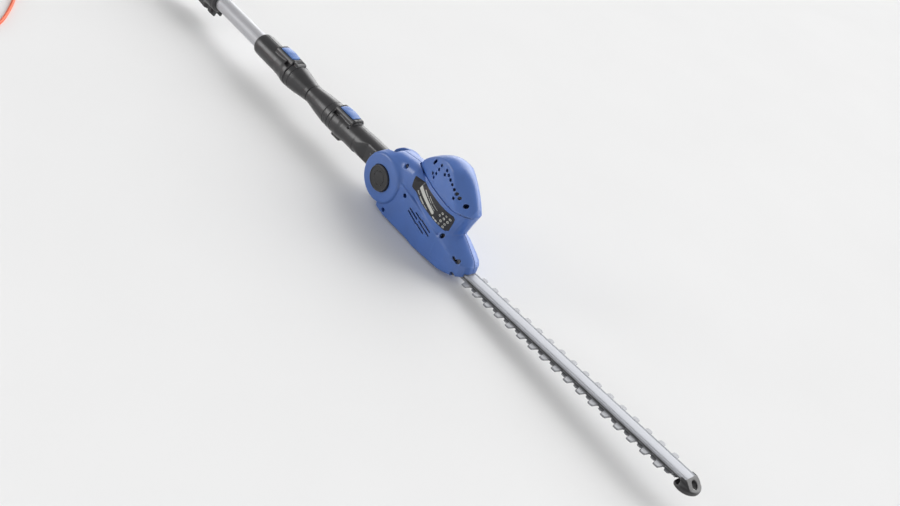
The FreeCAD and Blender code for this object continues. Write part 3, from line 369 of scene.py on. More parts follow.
def moulded(name, field, low, high, step, place, body, replaced=(), slot="housing_blue"):
    """Piece whose surface is a field's zero, with normals from the field."""
    blocks = [int(math.ceil((h - l) / (step * BLOCK))) for l, h in zip(low, high)]
    vertices, quads = surface_net(sample(field, low, step, blocks), low, step)
    for _ in range(2):
        value, slope = gradient(field, vertices)
        size = np.maximum((slope ** 2).sum(1), 0.2)
        move = value[:, None] * slope / size[:, None]
        vertices = vertices - np.clip(move, -step / 2, step / 2)
    mesh = bpy.data.meshes.new(name)
    mesh.from_pydata(vertices.tolist(), [], quads.tolist())
    mesh.update()
    normals = gradient(field, vertices, 0.15)[1]
    normals /= np.maximum(np.linalg.norm(normals, axis=1), 1e-9)[:, None]
    mesh.polygons.foreach_set("use_smooth", [True] * len(mesh.polygons))
    mesh.normals_split_custom_set_from_vertices(normals.tolist())
    mesh.transform(place)
    mesh.materials.append(finishes[slot])
    return registered(added(name, mesh), body, replaced)


# ------------------------------
# Motor head
# ------------------------------
RISE = math.atan2(BLADE_DIR.z, BLADE_DIR.x)
KEEL_X = 105.0
KEEL_Z = -(PIVOT.z / MM + KEEL_X * math.sin(RISE)) / math.cos(RISE)
HEAD_HALF, BOSS_R, BOSS_HALF, DISC_R = 28.0, 41.5, 30.5, 21.8
SHELL = 2.6
SEAM_Z = 43.0
TONGUE_HALF, TONGUE_R = 15.5, 34.0
BODY_SIDE = [(0, 30), (0, -30), (6, -49), (26, -54), (90, -57), (KEEL_X, KEEL_Z), (167, -58), (194, -53),
             (208, -48), (212, -42), (215.5, -35), (214, -27), (190, -23), (157, -13), (113, 0), (60, 13)]
BODY_HALF = ([0, 172, 184, 194, 203, 210, 214.5, 216.5], [28, 28, 26.5, 24.3, 20.3, 14.8, 8.5, 2])
NECK_SIDE = [(0, 0), (-29, 28), (-16, 42), (6, 50), (32, 53), (58, 54), (80, 44), (80, 0)]
PLAN_LENGTH = 130.0
PLAN_HALF = [(0, 0), (0.03, 0.20), (0.10, 0.33), (0.20, 0.46), (0.36, 0.72), (0.52, 0.88), (0.65, 0.97),
             (0.76, 1.0), (0.86, 0.92), (0.935, 0.72), (0.98, 0.42), (1, 0)]
PLAN = smooth_outline([(s * PLAN_LENGTH, w * HEAD_HALF) for s, w in PLAN_HALF]
                      + [(s * PLAN_LENGTH, -w * HEAD_HALF) for s, w in PLAN_HALF[-2:0:-1]], 2)
CAP_SIDE = smooth_outline([(45, 30), (45, 52), (54, 68), (68, 81), (84, 92.5), (98, 99.5), (112, 102),
                           (128, 100), (143, 95), (156, 86.5), (168.5, 74), (177.5, 62), (183.5, 50),
                           (185, 30)], 2)


def plan_field(x, y, rear, front, half):
    stretch = PLAN_LENGTH / (front - rear)
    return polygon((x - rear) * stretch, y * HEAD_HALF / half, PLAN)


def seam_height(x):
    """The cap's seam runs level at the front and climbs towards the rear."""
    return 42.0 + 0.08 * np.maximum(150 - x, 0)


def hump_field(x, y, z):
    share = np.clip((z + 12.0) / (SEAM_Z + 12.0), -0.2, 1.3)
    rear = np.clip(45.0 - 150.0 * (1 - share), -10.0, 45.0)
    return plan_field(x, y, rear, 167.0 + 17.0 * share, 26.3 + 1.5 * share)


def nose_field(x, y, z):
    """Roof of the nose: steep near its ridge line, softer at its crown, narrowing to the front."""
    half = np.interp(x, *BODY_HALF)
    ridge = np.interp(x, [140, 157, 190, 214], [-8, -13, -23, -28])
    top = np.interp(x, [140, 150, 176, 190, 203, 210, 216], [18, 14, 4.5, -4.5, -13.5, -19, -27])
    share = np.minimum(np.abs(y) / np.maximum(half, 2), 1.4)
    roof = 0.72 * (z - ridge - (top - ridge) * (1 - share ** 1.7))
    return smax(smax(roof, slab(x, 146, 215), 4), smax(slab(z, -46, 30), np.abs(y) - half, 2), 2)


def head_form(x, y, z):
    side = np.abs(y)
    body = smax(polygon(x, z, BODY_SIDE), 0.92 * (side - np.interp(x, *BODY_HALF)), 4)
    neck = smax(polygon(x, z, NECK_SIDE), side - 25.5, 22)
    boss = smax(disc(x, z, 0, 0, BOSS_R), side - BOSS_HALF - 1.2, 5.5)
    hump = smax(hump_field(x, y, z), slab(z, -12, SEAM_Z + 12), 0.5)
    form = smin(smin(body, nose_field(x, y, z), 1.2), smin(neck, boss, 12), 1.2)
    return smin(form, hump, 2.0)


HEAD_SCREWS = [(36, 44), (58, 4), (25, -45), (153, -7), (196, -49)]
LOUVRES = [(76, -12.2, 98, -20.6), (77.5, -6.8, 97, -13.2), (92, -5.4, 105, -9.2), (101, -20.4, 118, -26),
           (103.5, -14, 130, -22.6), (108, -8.4, 130, -15.6)]


def segment(x, z, ax, az, bx, bz):
    ex, ez = bx - ax, bz - az
    share = np.clip(((x - ax) * ex + (z - az) * ez) / (ex * ex + ez * ez), 0, 1)
    return np.hypot(x - ax - ex * share, z - az - ez * share)


SLOT_SIDE = [(0, 0)] + [(75 * math.cos(math.radians(a)), 75 * math.sin(math.radians(a)))
                        for a in range(90, 289, 11)]


def head_field(x, y, z):
    side = np.abs(y)
    outer = head_form(x, y, z)
    above = smax(plan_field(x, y, 42.5, 190, HEAD_HALF + 4), seam_height(x) - 1.0 - z, 0.3)
    form = cut(cut(outer, above, 0.8), smax(outer + SHELL, 46 - x, 1), 0.5)
    form = bored(form, x, y, z, [(0, 0)], DISC_R + 0.7, 24.6, 1.0)
    slot = np.minimum(polygon(x, z, SLOT_SIDE), disc(x, z, 0, 0, TONGUE_R + 2))
    form = cut(form, smax(slot, side - TONGUE_HALF - 0.4, 0.2), 1.4)
    form = cut(form, block(x, y, z, ((180, 240), (-12.8, 12.8), (-52.2, -39.9)), 1.0), 1.2)
    form = bored(form, x, y, z, HEAD_SCREWS, 3.6, 17.0, 1.2)
    form = bored(form, x, y, z, [(197, -25)], 3.7, 13.0, 1.0)
    form = cut(form, smax(segment(x, z, 190, -22.5, 197, -25) - 3.4, 22.6 - side, 2.5), 2.0)
    for ends in LOUVRES:
        form = cut(form, smax(segment(x, z, *ends) - 1.45, 20 - side, 0.2), 0.6)
    return form


def make_head():
    """The near shell, and the far one as its mirror image."""
    def near_half(x, y, z):
        return smax(head_field(x, y, z), y + 0.12, 0.9)
    near = moulded("head_shell_left_skin", near_half, (-46, -35, -62), (224, 1, 58), 0.9, HEAD, "head",
                   ["head_shell_left"])
    mesh = near.data.copy()
    mirror_mesh(mesh)
    registered(added("head_shell_right_skin", mesh), "head", ["head_shell_right"])


def mirror_mesh(mesh):
    """Mirror a mesh across the middle plane, its normals with it."""
    normals = np.zeros(len(mesh.vertices) * 3, np.float32)
    mesh.vertex_normals.foreach_get("vector", normals)
    normals = normals.reshape(-1, 3) * (1, -1, 1)
    mesh.transform(Matrix.Scale(-1, 4, ACROSS))
    mesh.flip_normals()
    mesh.normals_split_custom_set_from_vertices(normals.tolist())


def cap_form(x, y, z):
    """Crowned band over near-flat side walls, with a crease between them."""
    drop = 0.0158 + 0.0011 * np.maximum(x - 127, 0)
    crown = polygon(x, z + drop * y * y, CAP_SIDE) * 0.8
    lean = z - SEAM_Z
    walls = plan_field(x, y, 45 + 0.02 * lean, 185, HEAD_HALF - 0.4 - 0.075 * lean)
    return smax(crown, walls, 2.2)


CAP_VENTS = [(98.4, 84.5), (96, 76), (93.5, 67), (91, 58.5), (85, 62), (112.5, 77.5), (113.5, 85.5),
             (121, 82), (128.3, 78.5), (135.4, 75), (142.8, 70.8), (149.3, 67.3), (155.7, 63.4),
             (148, 59.3)]


def cap_field(x, y, z):
    side = np.abs(y)
    outer = cap_form(x, y, z)
    seam = seam_height(x)
    form = cut(smax(outer, seam + 1.2 - z, 1.0), outer + SHELL, 0.5)
    lip = smax(smax(outer + 2.0, -(outer + 2.9), 0.3), slab(z - seam, -3, 4), 0.3)
    form = np.minimum(form, lip)
    reach = np.where(y > 0, -(outer + 1.7), -50.0)
    for vx, vz in CAP_VENTS:
        form = cut(form, np.maximum(smax(disc(x, z, vx, vz, 2.65), 8 - side, 0.2), reach), 0.6)
    form = cut(form, smax(segment(x, z, 78.5, 76, 82, 82.5) - 2.4, 8 - side, 0.2), 0.6)
    return bored(form, x, y, z, [(168.5, 56.5)], 3.5, 12, 1.4)


def make_cap():
    moulded("motor_cap_skin", cap_field, (42, -31, 36), (190, 31, 106), 0.9, HEAD, "head", ["motor_cap"])


# Label on the near side of the hump: a black gloss panel with plain printed bars and dots
LABEL = [(62, 42.5), (64, 25), (90, 13.5), (120, 8), (152, 2.5), (158, 6), (163, 30), (160, 33.5),
         (130, 35), (95, 39), (70, 42)]
PRINT_BARS = [(77, 33, 121, 15.5, 3.2), (90, 35, 101, 30, 0.8), (103, 29.5, 112, 26, 0.6),
              (104, 33, 116, 28.2, 0.5), (74.5, 25.5, 82, 21.5, 0.7), (85, 20, 97, 15, 1.0),
              (86, 17.5, 96, 13.5, 0.4), (99, 14.5, 108, 11.5, 0.5), (113, 24, 124, 20.3, 0.4),
              (118, 27.5, 130, 24, 0.4), (125, 9.5, 128, 9, 1.3), (131, 8, 134, 7.5, 1.3)]
PRINT_DOTS = [(141, 26.5, 2.0), (149, 26.5, 1.7), (156.5, 25, 2.2), (137, 20.5, 1.9), (146, 20, 2.1),
              (153.5, 18.5, 2.0), (141.5, 13.5, 2.3), (150, 12.5, 1.9), (139.5, 7.2, 1.7),
              (148, 6.6, 2.1)]


def make_label():
    def panel(x, y, z):
        surface = head_form(x, y, z)
        sheet = smax(surface - 0.45, -surface - 2.4, 0.2)
        return smax(smax(sheet, polygon(x, z, LABEL) - 0.6, 0.3), y, 0.2)

    def marks(x, y, z):
        shape = np.full(x.shape, 50.0)
        for ax, az, bx, bz, half in PRINT_BARS:
            shape = np.minimum(shape, segment(x, z, ax, az, bx, bz) - half)
        for cx, cz, radius in PRINT_DOTS:
            shape = np.minimum(shape, np.abs(disc(x, z, cx, cz, radius * 0.72)) - radius * 0.28)
        sheet = smax(hump_field(x, y, z) - 0.6, -hump_field(x, y, z) - 1.4, 0.1)
        return smax(smax(sheet, shape, 0.1), y, 0.2)
    moulded("rating_label_panel", panel, (52, -31, 0), (168, -4, 46), 0.8, HEAD, "head", ["rating_label"],
            "label_black")
    moulded("rating_label_print", marks, (70, -31, 3), (161, -8, 38), 0.45, HEAD, "head", (), "nylon_white")


# Outline of (y, radius) points turned about the pivot's axis
DISC_PROFILE = [(-35, 0), (-34.4, 17), (-34.5, 19.2), (-35.2, 19.8), (-35.4, 20.6), (-34.9, 21.5),
                (-33.6, 21.8), (-29.4, 21.8), (-29.4, 17), (-32, 15), (-32, 0)]


def make_pivot_discs():
    """Lock button with a raised rim, and its plain twin on the far side."""
    def button(x, y, z):
        ring = np.abs(np.hypot(x, z) - 11.5) - 0.35
        return cut(revolve(y, x, z, DISC_PROFILE), smax(ring, -34.1 - y, 0.1), 0.3)

    def twin(x, y, z):
        radius = np.hypot(x, z)
        return smin(revolve(-y, x, z, DISC_PROFILE),
                    smax(smax(radius - 21.6, 12.2 - radius, 0.3), slab(y, 25, 31), 0.3), 0.3)
    moulded("tilt_lock_button_disc", button, (-24, -37, -24), (24, -27, 24), 0.6, HEAD, "tilt_button",
            ["tilt_lock_button"], "disc_black")
    moulded("pivot_cap_disc", twin, (-24, 23, -24), (24, 37, 24), 0.8, HEAD, "head", ["pivot_cap"],
            "disc_black")


make_head()
make_cap()
make_label()
make_pivot_discs()


# ------------------------------
# Arm and couplings
# ------------------------------
UPPER_MOUTH, LOWER_MOUTH = -298.0, -165.0


def latch_housing(x, y, z, mouth, inward):
    """Raised housing on a socket's top: sloped shoulders, a pocket for the button."""
    along = (x - mouth) * inward
    section = smax(smax(np.abs(y) - 12.8, z - 27.8, 1.5), 0.8 * np.abs(y) + 0.6 * z - 24.0, 1.5)
    body = smax(smax(section, slab(along, 0.3, 50), 2.0), 6 - z, 0.5)
    pocket = smax(smax(slab(along, 5.8, 44.6), np.abs(y) - 9.2, 1.2), 20.5 - z, 0.3)
    hook = block(along, y, z, ((4.2, 11.6), (-5.3, 5.3), (10, 40)), 0.4)
    step = smax(smax(slab(along, 3, 15), slab(np.abs(y), 11.6, 20), 0.5), slab(z, 14.8, 20.5), 0.5)
    return body, np.minimum(pocket, hook), step


ARM_HOLES = [(-117.4, 15.5), (-52, 8), (-90, -12)]
ARM_THROAT = [(-165, 20), (-165, 22.3), (-164, 22.8), (-157, 22.9), (-156.3, 22.2), (-155.3, 22.2),
              (-154.6, 22.8), (-140, 22.6), (-128, 21.4), (-118, 20.6), (-95, 20.6), (-95, 5), (-165, 5)]


def arm_field(x, y, z):
    side = np.abs(y)
    radius = np.interp(x, [-128, -75, -26], [20.4, 21.8, 22.0])
    centre = np.interp(x, [-128, -75, -26], [1.0, 2.6, 3.6])
    tube = smax(np.hypot(y, z - centre) - radius, slab(x, -130, -22), 2.0)
    form = smin(revolve(x, y, z, ARM_THROAT), tube, 3.0)
    housing, pocket, step = latch_housing(x, y, z, LOWER_MOUTH, 1)
    form = smin(form, housing, 1.5)
    form = smin(form, block(x, y, z, ((-156, -134), (-12, 12), (-24.4, -10)), 2.0), 1.5)
    cheek = np.interp(x, [-92, -64, -60], [26, TONGUE_HALF, TONGUE_HALF])
    form = smax(form, 0.9 * (side - cheek), 3.0)
    form = smin(form, smax(disc(x, z, 0, 0, TONGUE_R), side - TONGUE_HALF, 1.0), 1.0)
    form = smax(form, side - np.where(x > -60, TONGUE_HALF, 40), 0.6)
    form = cut(form, pocket, 0.8)
    form = cut(form, step, 0.6)
    socket = revolve(x, y, z, [(-167, 0), (-167, 17.1), (-118, 17.1), (-118, 15.5), (-44, 12.5), (-44, 0)])
    form = cut(form, socket, 0.4)
    form = cut(form, smax(disc(x, z, 0, 0, 4.2), side - 40, 0.1), 0.4)
    form = bored(form, x, y, z, ARM_HOLES, 2.7, 12.5, 0.8)
    form = cut(form, smax(disc(x, z, 0, 0, 20.4), 13.0 - side, 0.1), 0.4)
    return form


FRONT_CUP = [(-236.6, 11), (-236.6, 16.2), (-235.8, 17.1), (-230, 17.5), (-221, 18.5), (-210, 20.1),
             (-198, 21.4), (-188, 22.3), (-179.4, 22.9), (-178.6, 22.2), (-177.6, 22.2), (-176.8, 22.9),
             (-166.3, 22.9), (-165.4, 22.2), (-165.4, 17), (-129, 17), (-127, 15), (-127, 11)]
REAR_CUP = [(-237.4, 11), (-237.4, 16.2), (-238.2, 17.1), (-245, 17.5), (-256, 19.1), (-268, 20.9),
            (-277, 22.3), (-284.6, 23.2), (-285.4, 22.5), (-286.4, 22.5), (-287.2, 23.4), (-295.5, 23.9),
            (-297.6, 23.2), (-297.6, 17), (-334, 17), (-336, 15), (-336, 11)]
UPPER_BORE = [(-410, 0), (-410, 14.8), (-342, 14.8), (-342, 17.1), (-280, 17.1), (-280, 0)]
UPPER_SOCKET = [(-402, 10), (-402, 16.6), (-401, 18.4), (-398.4, 20.2), (-393, 20.9), (-334, 20.9),
                (-317, 22.4), (-309.5, 23.9), (-307, 24.3), (-299.4, 24.3), (-298.4, 23.6), (-298.4, 10)]


def front_cup_field(x, y, z):
    notch = block(x, y, z, ((-161, -153.8), (-5.4, 5.4), (14, 22)), 0.3)
    return cut(revolve(x, y, z, FRONT_CUP), notch, 0.3)


def rear_cup_field(x, y, z):
    ledge = block(x, y, z, ((-297.8, -286), (-9.5, 9.5), (10, 27.2)), 1.0)
    form = smin(revolve(x, y, z, REAR_CUP), smax(ledge, 0.8 * z + 0.6 * (x + 287) - 20.2, 0.8), 0.8)
    slot = block(x, y, z, ((-295, -290), (-7.2, 7.2), (25.6, 40)), 0.3)
    return cut(cut(form, slot, 0.4), block(x, y, z, ((-309.2, -302), (-5.4, 5.4), (14, 22)), 0.3), 0.3)


def upper_socket_field(x, y, z):
    form = revolve(x, y, z, UPPER_SOCKET)
    housing, pocket, step = latch_housing(x, y, z, UPPER_MOUTH, -1)
    form = cut(cut(smin(form, housing, 1.5), pocket, 0.8), step, 0.6)
    return cut(form, revolve(x, y, z, UPPER_BORE), 0.4)


def latch_button_field(mouth, inward):
    """Rocker button: domed top with thumb ridges, a web and a hook under it."""
    def field(x, y, z):
        along = (x - mouth) * inward
        dome = 30.6 - 0.010 * y * y - 0.006 * (along - 25) ** 2
        top = smax(smax(slab(along, 6.8, 43.5), np.abs(y) - 8.5, 2.0), smax(z - dome, 26.6 - z, 0.8), 1.0)
        for centre in (13, 17, 21):
            top = cut(top, smax(np.abs(along - centre) - 0.7, dome - 0.6 - z, 0.2), 0.4)
        web = block(along, y, z, ((8, 30), (-6.8, 6.8), (21.6, 27.6)), 0.4)
        hook = block(along, y, z, ((6.4, 9.8), (-4.6, 4.6), (14.6, 27.6)), 0.4)
        return cut(np.minimum(np.minimum(top, web), hook), disc(along, z, 24, 23.8, 1.6), 0.2)
    return field


def split(field, sense):
    """One half of a shell, its edge at the middle plane slightly eased."""
    return lambda x, y, z: smax(field(x, y, z), 0.08 - sense * y, 0.5)


def pole_piece(name, field, low, high, step, body, replaced, slot="coupling_black", parted=False):
    if parted:
        near, far = replaced
        near_high = (high[0], 1.5, high[2])
        moulded(name + "_near", split(field, -1), low, near_high, step, POLE, body, [near], slot)
        moulded(name + "_far", split(field, 1), (low[0], -1.5, low[2]), high, step, POLE, body, [far], slot)
    else:
        moulded(name, field, low, high, step, POLE, body, replaced, slot)


def make_couplings():
    pole_piece("arm_shell_skin", arm_field, (-168, -25, -37), (36, 25, 37), 0.9, "pole_front",
               ["arm_shell_left", "arm_shell_right"], parted=True)
    pole_piece("adapter_front_cup_skin", front_cup_field, (-239, -25, -25), (-125, 25, 26), 0.9,
               "pole_front", ["adapter_front_cup"])
    pole_piece("adapter_rear_cup_skin", rear_cup_field, (-338, -25, -25), (-235, 25, 29), 0.9, "pole_front",
               ["adapter_rear_cup"])
    pole_piece("upper_socket_skin", upper_socket_field, (-405, -26, -26), (-296, 26, 30), 0.9, "pole_front",
               ["upper_socket_left", "upper_socket_right"], parted=True)
    for prefix, mouth, inward in (("upper", UPPER_MOUTH, -1), ("lower", LOWER_MOUTH, 1)):
        ends = sorted((mouth + inward * 4, mouth + inward * 46))
        pole_piece(prefix + "_latch_button_skin", latch_button_field(mouth, inward), (ends[0], -10, 13),
                   (ends[1], 10, 32), 0.5, prefix + "_latch", [prefix + "_latch_button"], "button_blue")


make_couplings()


# ------------------------------
# Pole: telescope lock, foam grip and strap eyelet
# ------------------------------
COLLAR_X = -540.0
COLLAR = [(0, 10), (0, 17.8), (-0.8, 18.8), (-3.4, 20.6), (-10, 21.0), (-10.6, 20.2), (-12, 20.2),
          (-12.6, 21.0), (-28, 21.0), (-34, 20.6), (-42.6, 19.4), (-44, 18.4), (-44, 10)]
COLLAR_BORE = [(-50, 0), (-50, 17.3), (-14, 17.3), (-14, 15.1), (10, 15.1), (10, 0)]
LOCK_PIN = (-17.0, -25.6)


def collar_field(x, y, z):
    x = x - COLLAR_X
    ears = smax(polygon(x, z, [(-1, -14), (-34, -14), (-28, -31), (-7, -31)]), np.abs(y) - 9.2, 1.5)
    form = smin(revolve(x, y, z, COLLAR), ears, 1.2)
    form = cut(form, smax(np.abs(y) - 5.35, z + 19.3, 0.2), 0.6)
    form = cut(form, smax(np.abs(y) - 0.9, z + 8, 0.2), 0.3)
    form = cut(form, revolve(x, y, z, COLLAR_BORE), 0.3)
    pin = smax(disc(x, z, *LOCK_PIN, 2.5), np.abs(y) - 10, 0.3)
    head = smax(disc(x, z, *LOCK_PIN, 4.2), slab(np.abs(y), 9.4, 11.4), 0.8)
    return np.minimum(form, np.minimum(pin, head))


LEVER_SIDE = [(-14.5, -29.2), (-14.5, -23.4), (-32, -23.2), (-55, -23.8), (-77, -24.2), (-84.5, -26.6),
              (-82, -30), (-65, -29.6), (-40, -31.4)]


def lever_field(x, y, z):
    x = x - COLLAR_X
    side = polygon(x, z, LEVER_SIDE) - 0.2
    half = np.interp(x, [-84, -78, -42, -34], [7.5, 9, 9, 4.9])
    form = smax(side, 0.8 * (np.abs(y) - half), 1.5)
    form = smin(form, smax(disc(x, z, *LOCK_PIN, 4.6), np.abs(y) - 4.9, 0.5), 0.8)
    for centre in (-72, -67, -62, -57):
        form = cut(form, smax(np.abs(x - centre) - 0.8, z + 28.6, 0.3), 0.6)
    return cut(form, disc(x, z, *LOCK_PIN, 2.55), 0.2)


def grip_field(x, y, z):
    """Soft sleeve with rolled ends and shallow finger rings."""
    rings = 0.35 * np.cos((x + 800) * math.pi / 13) * np.clip((72 - np.abs(x + 800)) / 8, 0, 1)
    outer = smax(np.hypot(y, z) - 21.5 - rings, slab(x, -880, -720), 3.5)
    return cut(outer, np.hypot(y, z) - 17.4, 0.8)


def eyelet_field(x, y, z):
    ring = smax(np.hypot(y, z) - 20.9, slab(x, -928, -912), 1.2)
    tab = smax(disc(x, z, -920, 30.5, 8.2), np.abs(y) - 3.4, 1.4)
    web = block(x, y, z, ((-926, -914), (-3.4, 3.4), (15, 28)), 1.4)
    ears = block(x, y, z, ((-926.5, -913.5), (-9, 9), (-28, -10)), 1.5)
    form = smin(smin(ring, smin(tab, web, 3), 3), ears, 1.5)
    form = cut(form, disc(x, z, -920, 31.5, 5.0), 0.8)
    form = cut(form, smax(np.abs(y) - 1.3, z + 8, 0.2), 0.4)
    form = cut(form, np.hypot(y, z) - 17.35, 0.3)
    screw = smax(disc(x, z, -920, -23.5, 2.0), np.abs(y) - 9.2, 0.2)
    head = smax(disc(x, z, -920, -23.5, 3.6), slab(y, -12, -9.1), 0.7)
    socket = smax(disc(x, z, -920, -23.5, 1.6), y + 10.4, 0.1)
    return np.minimum(form, np.minimum(screw, cut(head, socket, 0.2)))


def make_pole_fittings():
    pole_piece("lock_collar_skin", collar_field, (-587, -24, -33), (-537, 24, 23), 0.8, "pole_rear",
               ["lock_collar"])
    pole_piece("lock_lever_skin", lever_field, (-627, -11, -33), (-550, 11, -20), 0.6, "lock_lever",
               ["lock_lever"])
    pole_piece("front_grip_foam", grip_field, (-883, -24, -24), (-717, 24, 24), 1.4, "pole_rear",
               ["front_grip"], "grip_foam")
    pole_piece("strap_eyelet_clip", eyelet_field, (-931, -23, -30), (-909, 23, 41), 0.7, "pole_rear",
               ["strap_eyelet"])


make_pole_fittings()


# ------------------------------
# Blade assembly
# ------------------------------
CRANK_X, SPINE_HALF, STROKE, PITCH, TEETH = 111.0, 11.5, 6.0, 25.0, 17
BOLTS = [250.0 + 100.0 * i for i in range(5)]
BAR_REAR, BAR_FRONT = 171.0, 668.0


def finished(name, vertices, faces, place, body, replaced, slot, smooth=None):
    """Piece from plain mesh data, optionally smoothed up to an angle."""
    mesh = bpy.data.meshes.new(name)
    mesh.from_pydata([tuple(v) for v in vertices], [], faces)
    mesh.transform(place)
    mesh.update()
    work = bmesh.new()
    work.from_mesh(mesh)
    bmesh.ops.recalc_face_normals(work, faces=work.faces)
    work.to_mesh(mesh)
    work.free()
    if smooth:
        mesh.polygons.foreach_set("use_smooth", [True] * len(mesh.polygons))
        mesh.set_sharp_from_angle(angle=math.radians(smooth))
    mesh.materials.append(finishes[slot])
    registered(added(name, mesh), body, replaced)


def round_points(cx, cy, radius, start, end, count):
    angles = [math.radians(start + (end - start) * i / count) for i in range(count + 1)]
    return [(cx + radius * math.cos(a), cy + radius * math.sin(a)) for a in angles]


def stacked(vertices, faces, rings):
    """Closed solid through equal-length rings of points, capped at both ends."""
    start, count = len(vertices), len(rings[0])
    for ring in rings:
        vertices.extend(ring)
    for level in range(len(rings) - 1):
        base = start + level * count
        for i in range(count):
            j = (i + 1) % count
            faces.append((base + i, base + j, base + count + j, base + count + i))
    faces.append(tuple(range(start, start + count)))
    faces.append(tuple(range(start + (len(rings) - 1) * count, start + len(rings) * count)))


def pierced_plate(vertices, faces, outline, holes, z0, z1):
    """Flat plate with holes through it."""
    loops = [outline] + holes
    flat = [Vector(point) for loop in loops for point in loop]
    edges, start = [], 0
    for loop in loops:
        count = len(loop)
        edges += [(start + i, start + (i + 1) % count) for i in range(count)]
        start += count
    points, _, triangles, _, _, _ = delaunay_2d_cdt(flat, edges, [], 3, 1e-5)
    for level in (z0, z1):
        base = len(vertices)
        vertices.extend((point.x, point.y, level) for point in points)
        faces.extend(tuple(base + i for i in triangle) for triangle in triangles)
    for a, b in edges:
        base = len(vertices)
        vertices.extend([(*flat[a], z0), (*flat[b], z0), (*flat[b], z1), (*flat[a], z1)])
        faces.append((base, base + 1, base + 2, base + 3))


def tooth_outline(half_root, half_tip, reach, inset):
    """One tooth pointing to -Y: tapered flanks and a rounded end."""
    root, tip, end = half_root - inset, half_tip - inset, reach - inset
    corner = 2.6
    points = [(-root - 0.6, -10.6), (-root, -SPINE_HALF - 1.0), (-tip - 0.3, -end + corner)]
    points += round_points(-tip + corner - 0.3, -end + corner, corner, 190, 265, 4)
    points += round_points(tip - corner + 0.3, -end + corner, corner, 275, 350, 4)
    points += [(tip + 0.3, -end + corner), (root, -SPINE_HALF - 1.0), (root + 0.6, -10.6)]
    return points


def make_blade(name, first, reach, half_root, half_tip, rear, front, top, ground_up):
    vertices, faces = [], []
    bottom = top - 2.0
    yoke = round_points(CRANK_X - 6, 0, 18.5, 90, 270, 20) + round_points(CRANK_X + 6, 0, 18.5, 270, 322, 6)
    outline = yoke + [(rear + 12, -SPINE_HALF), (front, -SPINE_HALF), (front + 3, -SPINE_HALF + 4),
                      (front + 3, SPINE_HALF - 4), (front, SPINE_HALF), (rear + 12, SPINE_HALF)]
    outline += round_points(CRANK_X + 6, 0, 18.5, 38, 90, 6)[:-1]
    holes = [round_points(CRANK_X - 6.2, 0, 13.6, 90, 270, 16)
             + round_points(CRANK_X + 6.2, 0, 13.6, 270, 450, 16)]
    for bolt in BOLTS:
        run = STROKE + 0.5
        holes.append(round_points(bolt - run, 0, 5.0, 90, 270, 8)
                     + round_points(bolt + run, 0, 5.0, 270, 450, 8))
    pierced_plate(vertices, faces, outline, holes, bottom, top)
    full = tooth_outline(half_root, half_tip, reach, 0.0)
    ground = tooth_outline(half_root, half_tip, reach, 1.15)
    levels = [(ground, top), (full, top - 1.15), (full, bottom)]
    if not ground_up:
        levels = [(full, top), (full, bottom + 1.15), (ground, bottom)]
    for index in range(TEETH):
        at = first + PITCH * index
        for sense in (1, -1):
            stacked(vertices, faces,
                    [[(at + px, sense * py, level) for px, py in ring] for ring, level in levels])
    finished(name + "_ground", vertices, faces, HEAD, name, [name], "blade_steel", 25)


def bar_section():
    """Half of the cover bar's section from its lower lip up to the crown: (y, z) points."""
    outer = [(11.9, -46.0), (11.9, -43.2)] + round_points(10.4, -42.6, 1.5, 0, 62, 4)
    grooved = []
    for groove in (9.9, 8.1):
        crown = -40.95 - 0.5 * (groove / 11) ** 2
        grooved += [(groove + 0.55, crown), (groove + 0.3, crown - 0.4), (groove - 0.3, crown - 0.4),
                    (groove - 0.55, crown)]
    top = [(y, -40.85 - 0.5 * (y / 11) ** 2) for y in (6.5, 4.5, 2.5, 0.0)]
    return outer + grooved + top


def make_bar():
    half = bar_section()
    inner = [(10.5, -46.0), (10.5, -43.0), (10.0, -42.6)]
    section = [(-y, z) for y, z in half] + [(y, z) for y, z in reversed(half[:-1])]
    section += inner + [(-y, z) for y, z in reversed(inner)]
    vertices, faces = [], []
    stations = [BAR_REAR, BAR_FRONT]
    stacked(vertices, faces, [[(x, y, z) for y, z in section] for x in stations])
    finished("cover_bar_profile", vertices, faces, HEAD, "head", ["cover_bar"], "bar_aluminium", 30)
    # Thin black strips along both lower edges of the bar: painted shadow standing for the shaded gap between the
    # bar and the blades, not a real part.
    vertices, faces = [], []
    for sense in (1, -1):
        shadow_strip = [(11.7, -46.35), (12.35, -46.35), (12.5, -46.0), (12.5, -44.7), (12.2, -44.4),
                 (11.7, -44.4)]
        stacked(vertices, faces, [[(x, sense * y, z) for y, z in shadow_strip] for x in (207.0, 662.0)])
    finished("cover_bar_painted_shadow_strip", vertices, faces, HEAD, "head", [], "coupling_black")


TIP_HOLE_X, TIP_HOLE_R = 677.0, 5.2
TIP_X, TIP_TOP, TIP_BOTTOM = 668.0, -39.9, -57.4


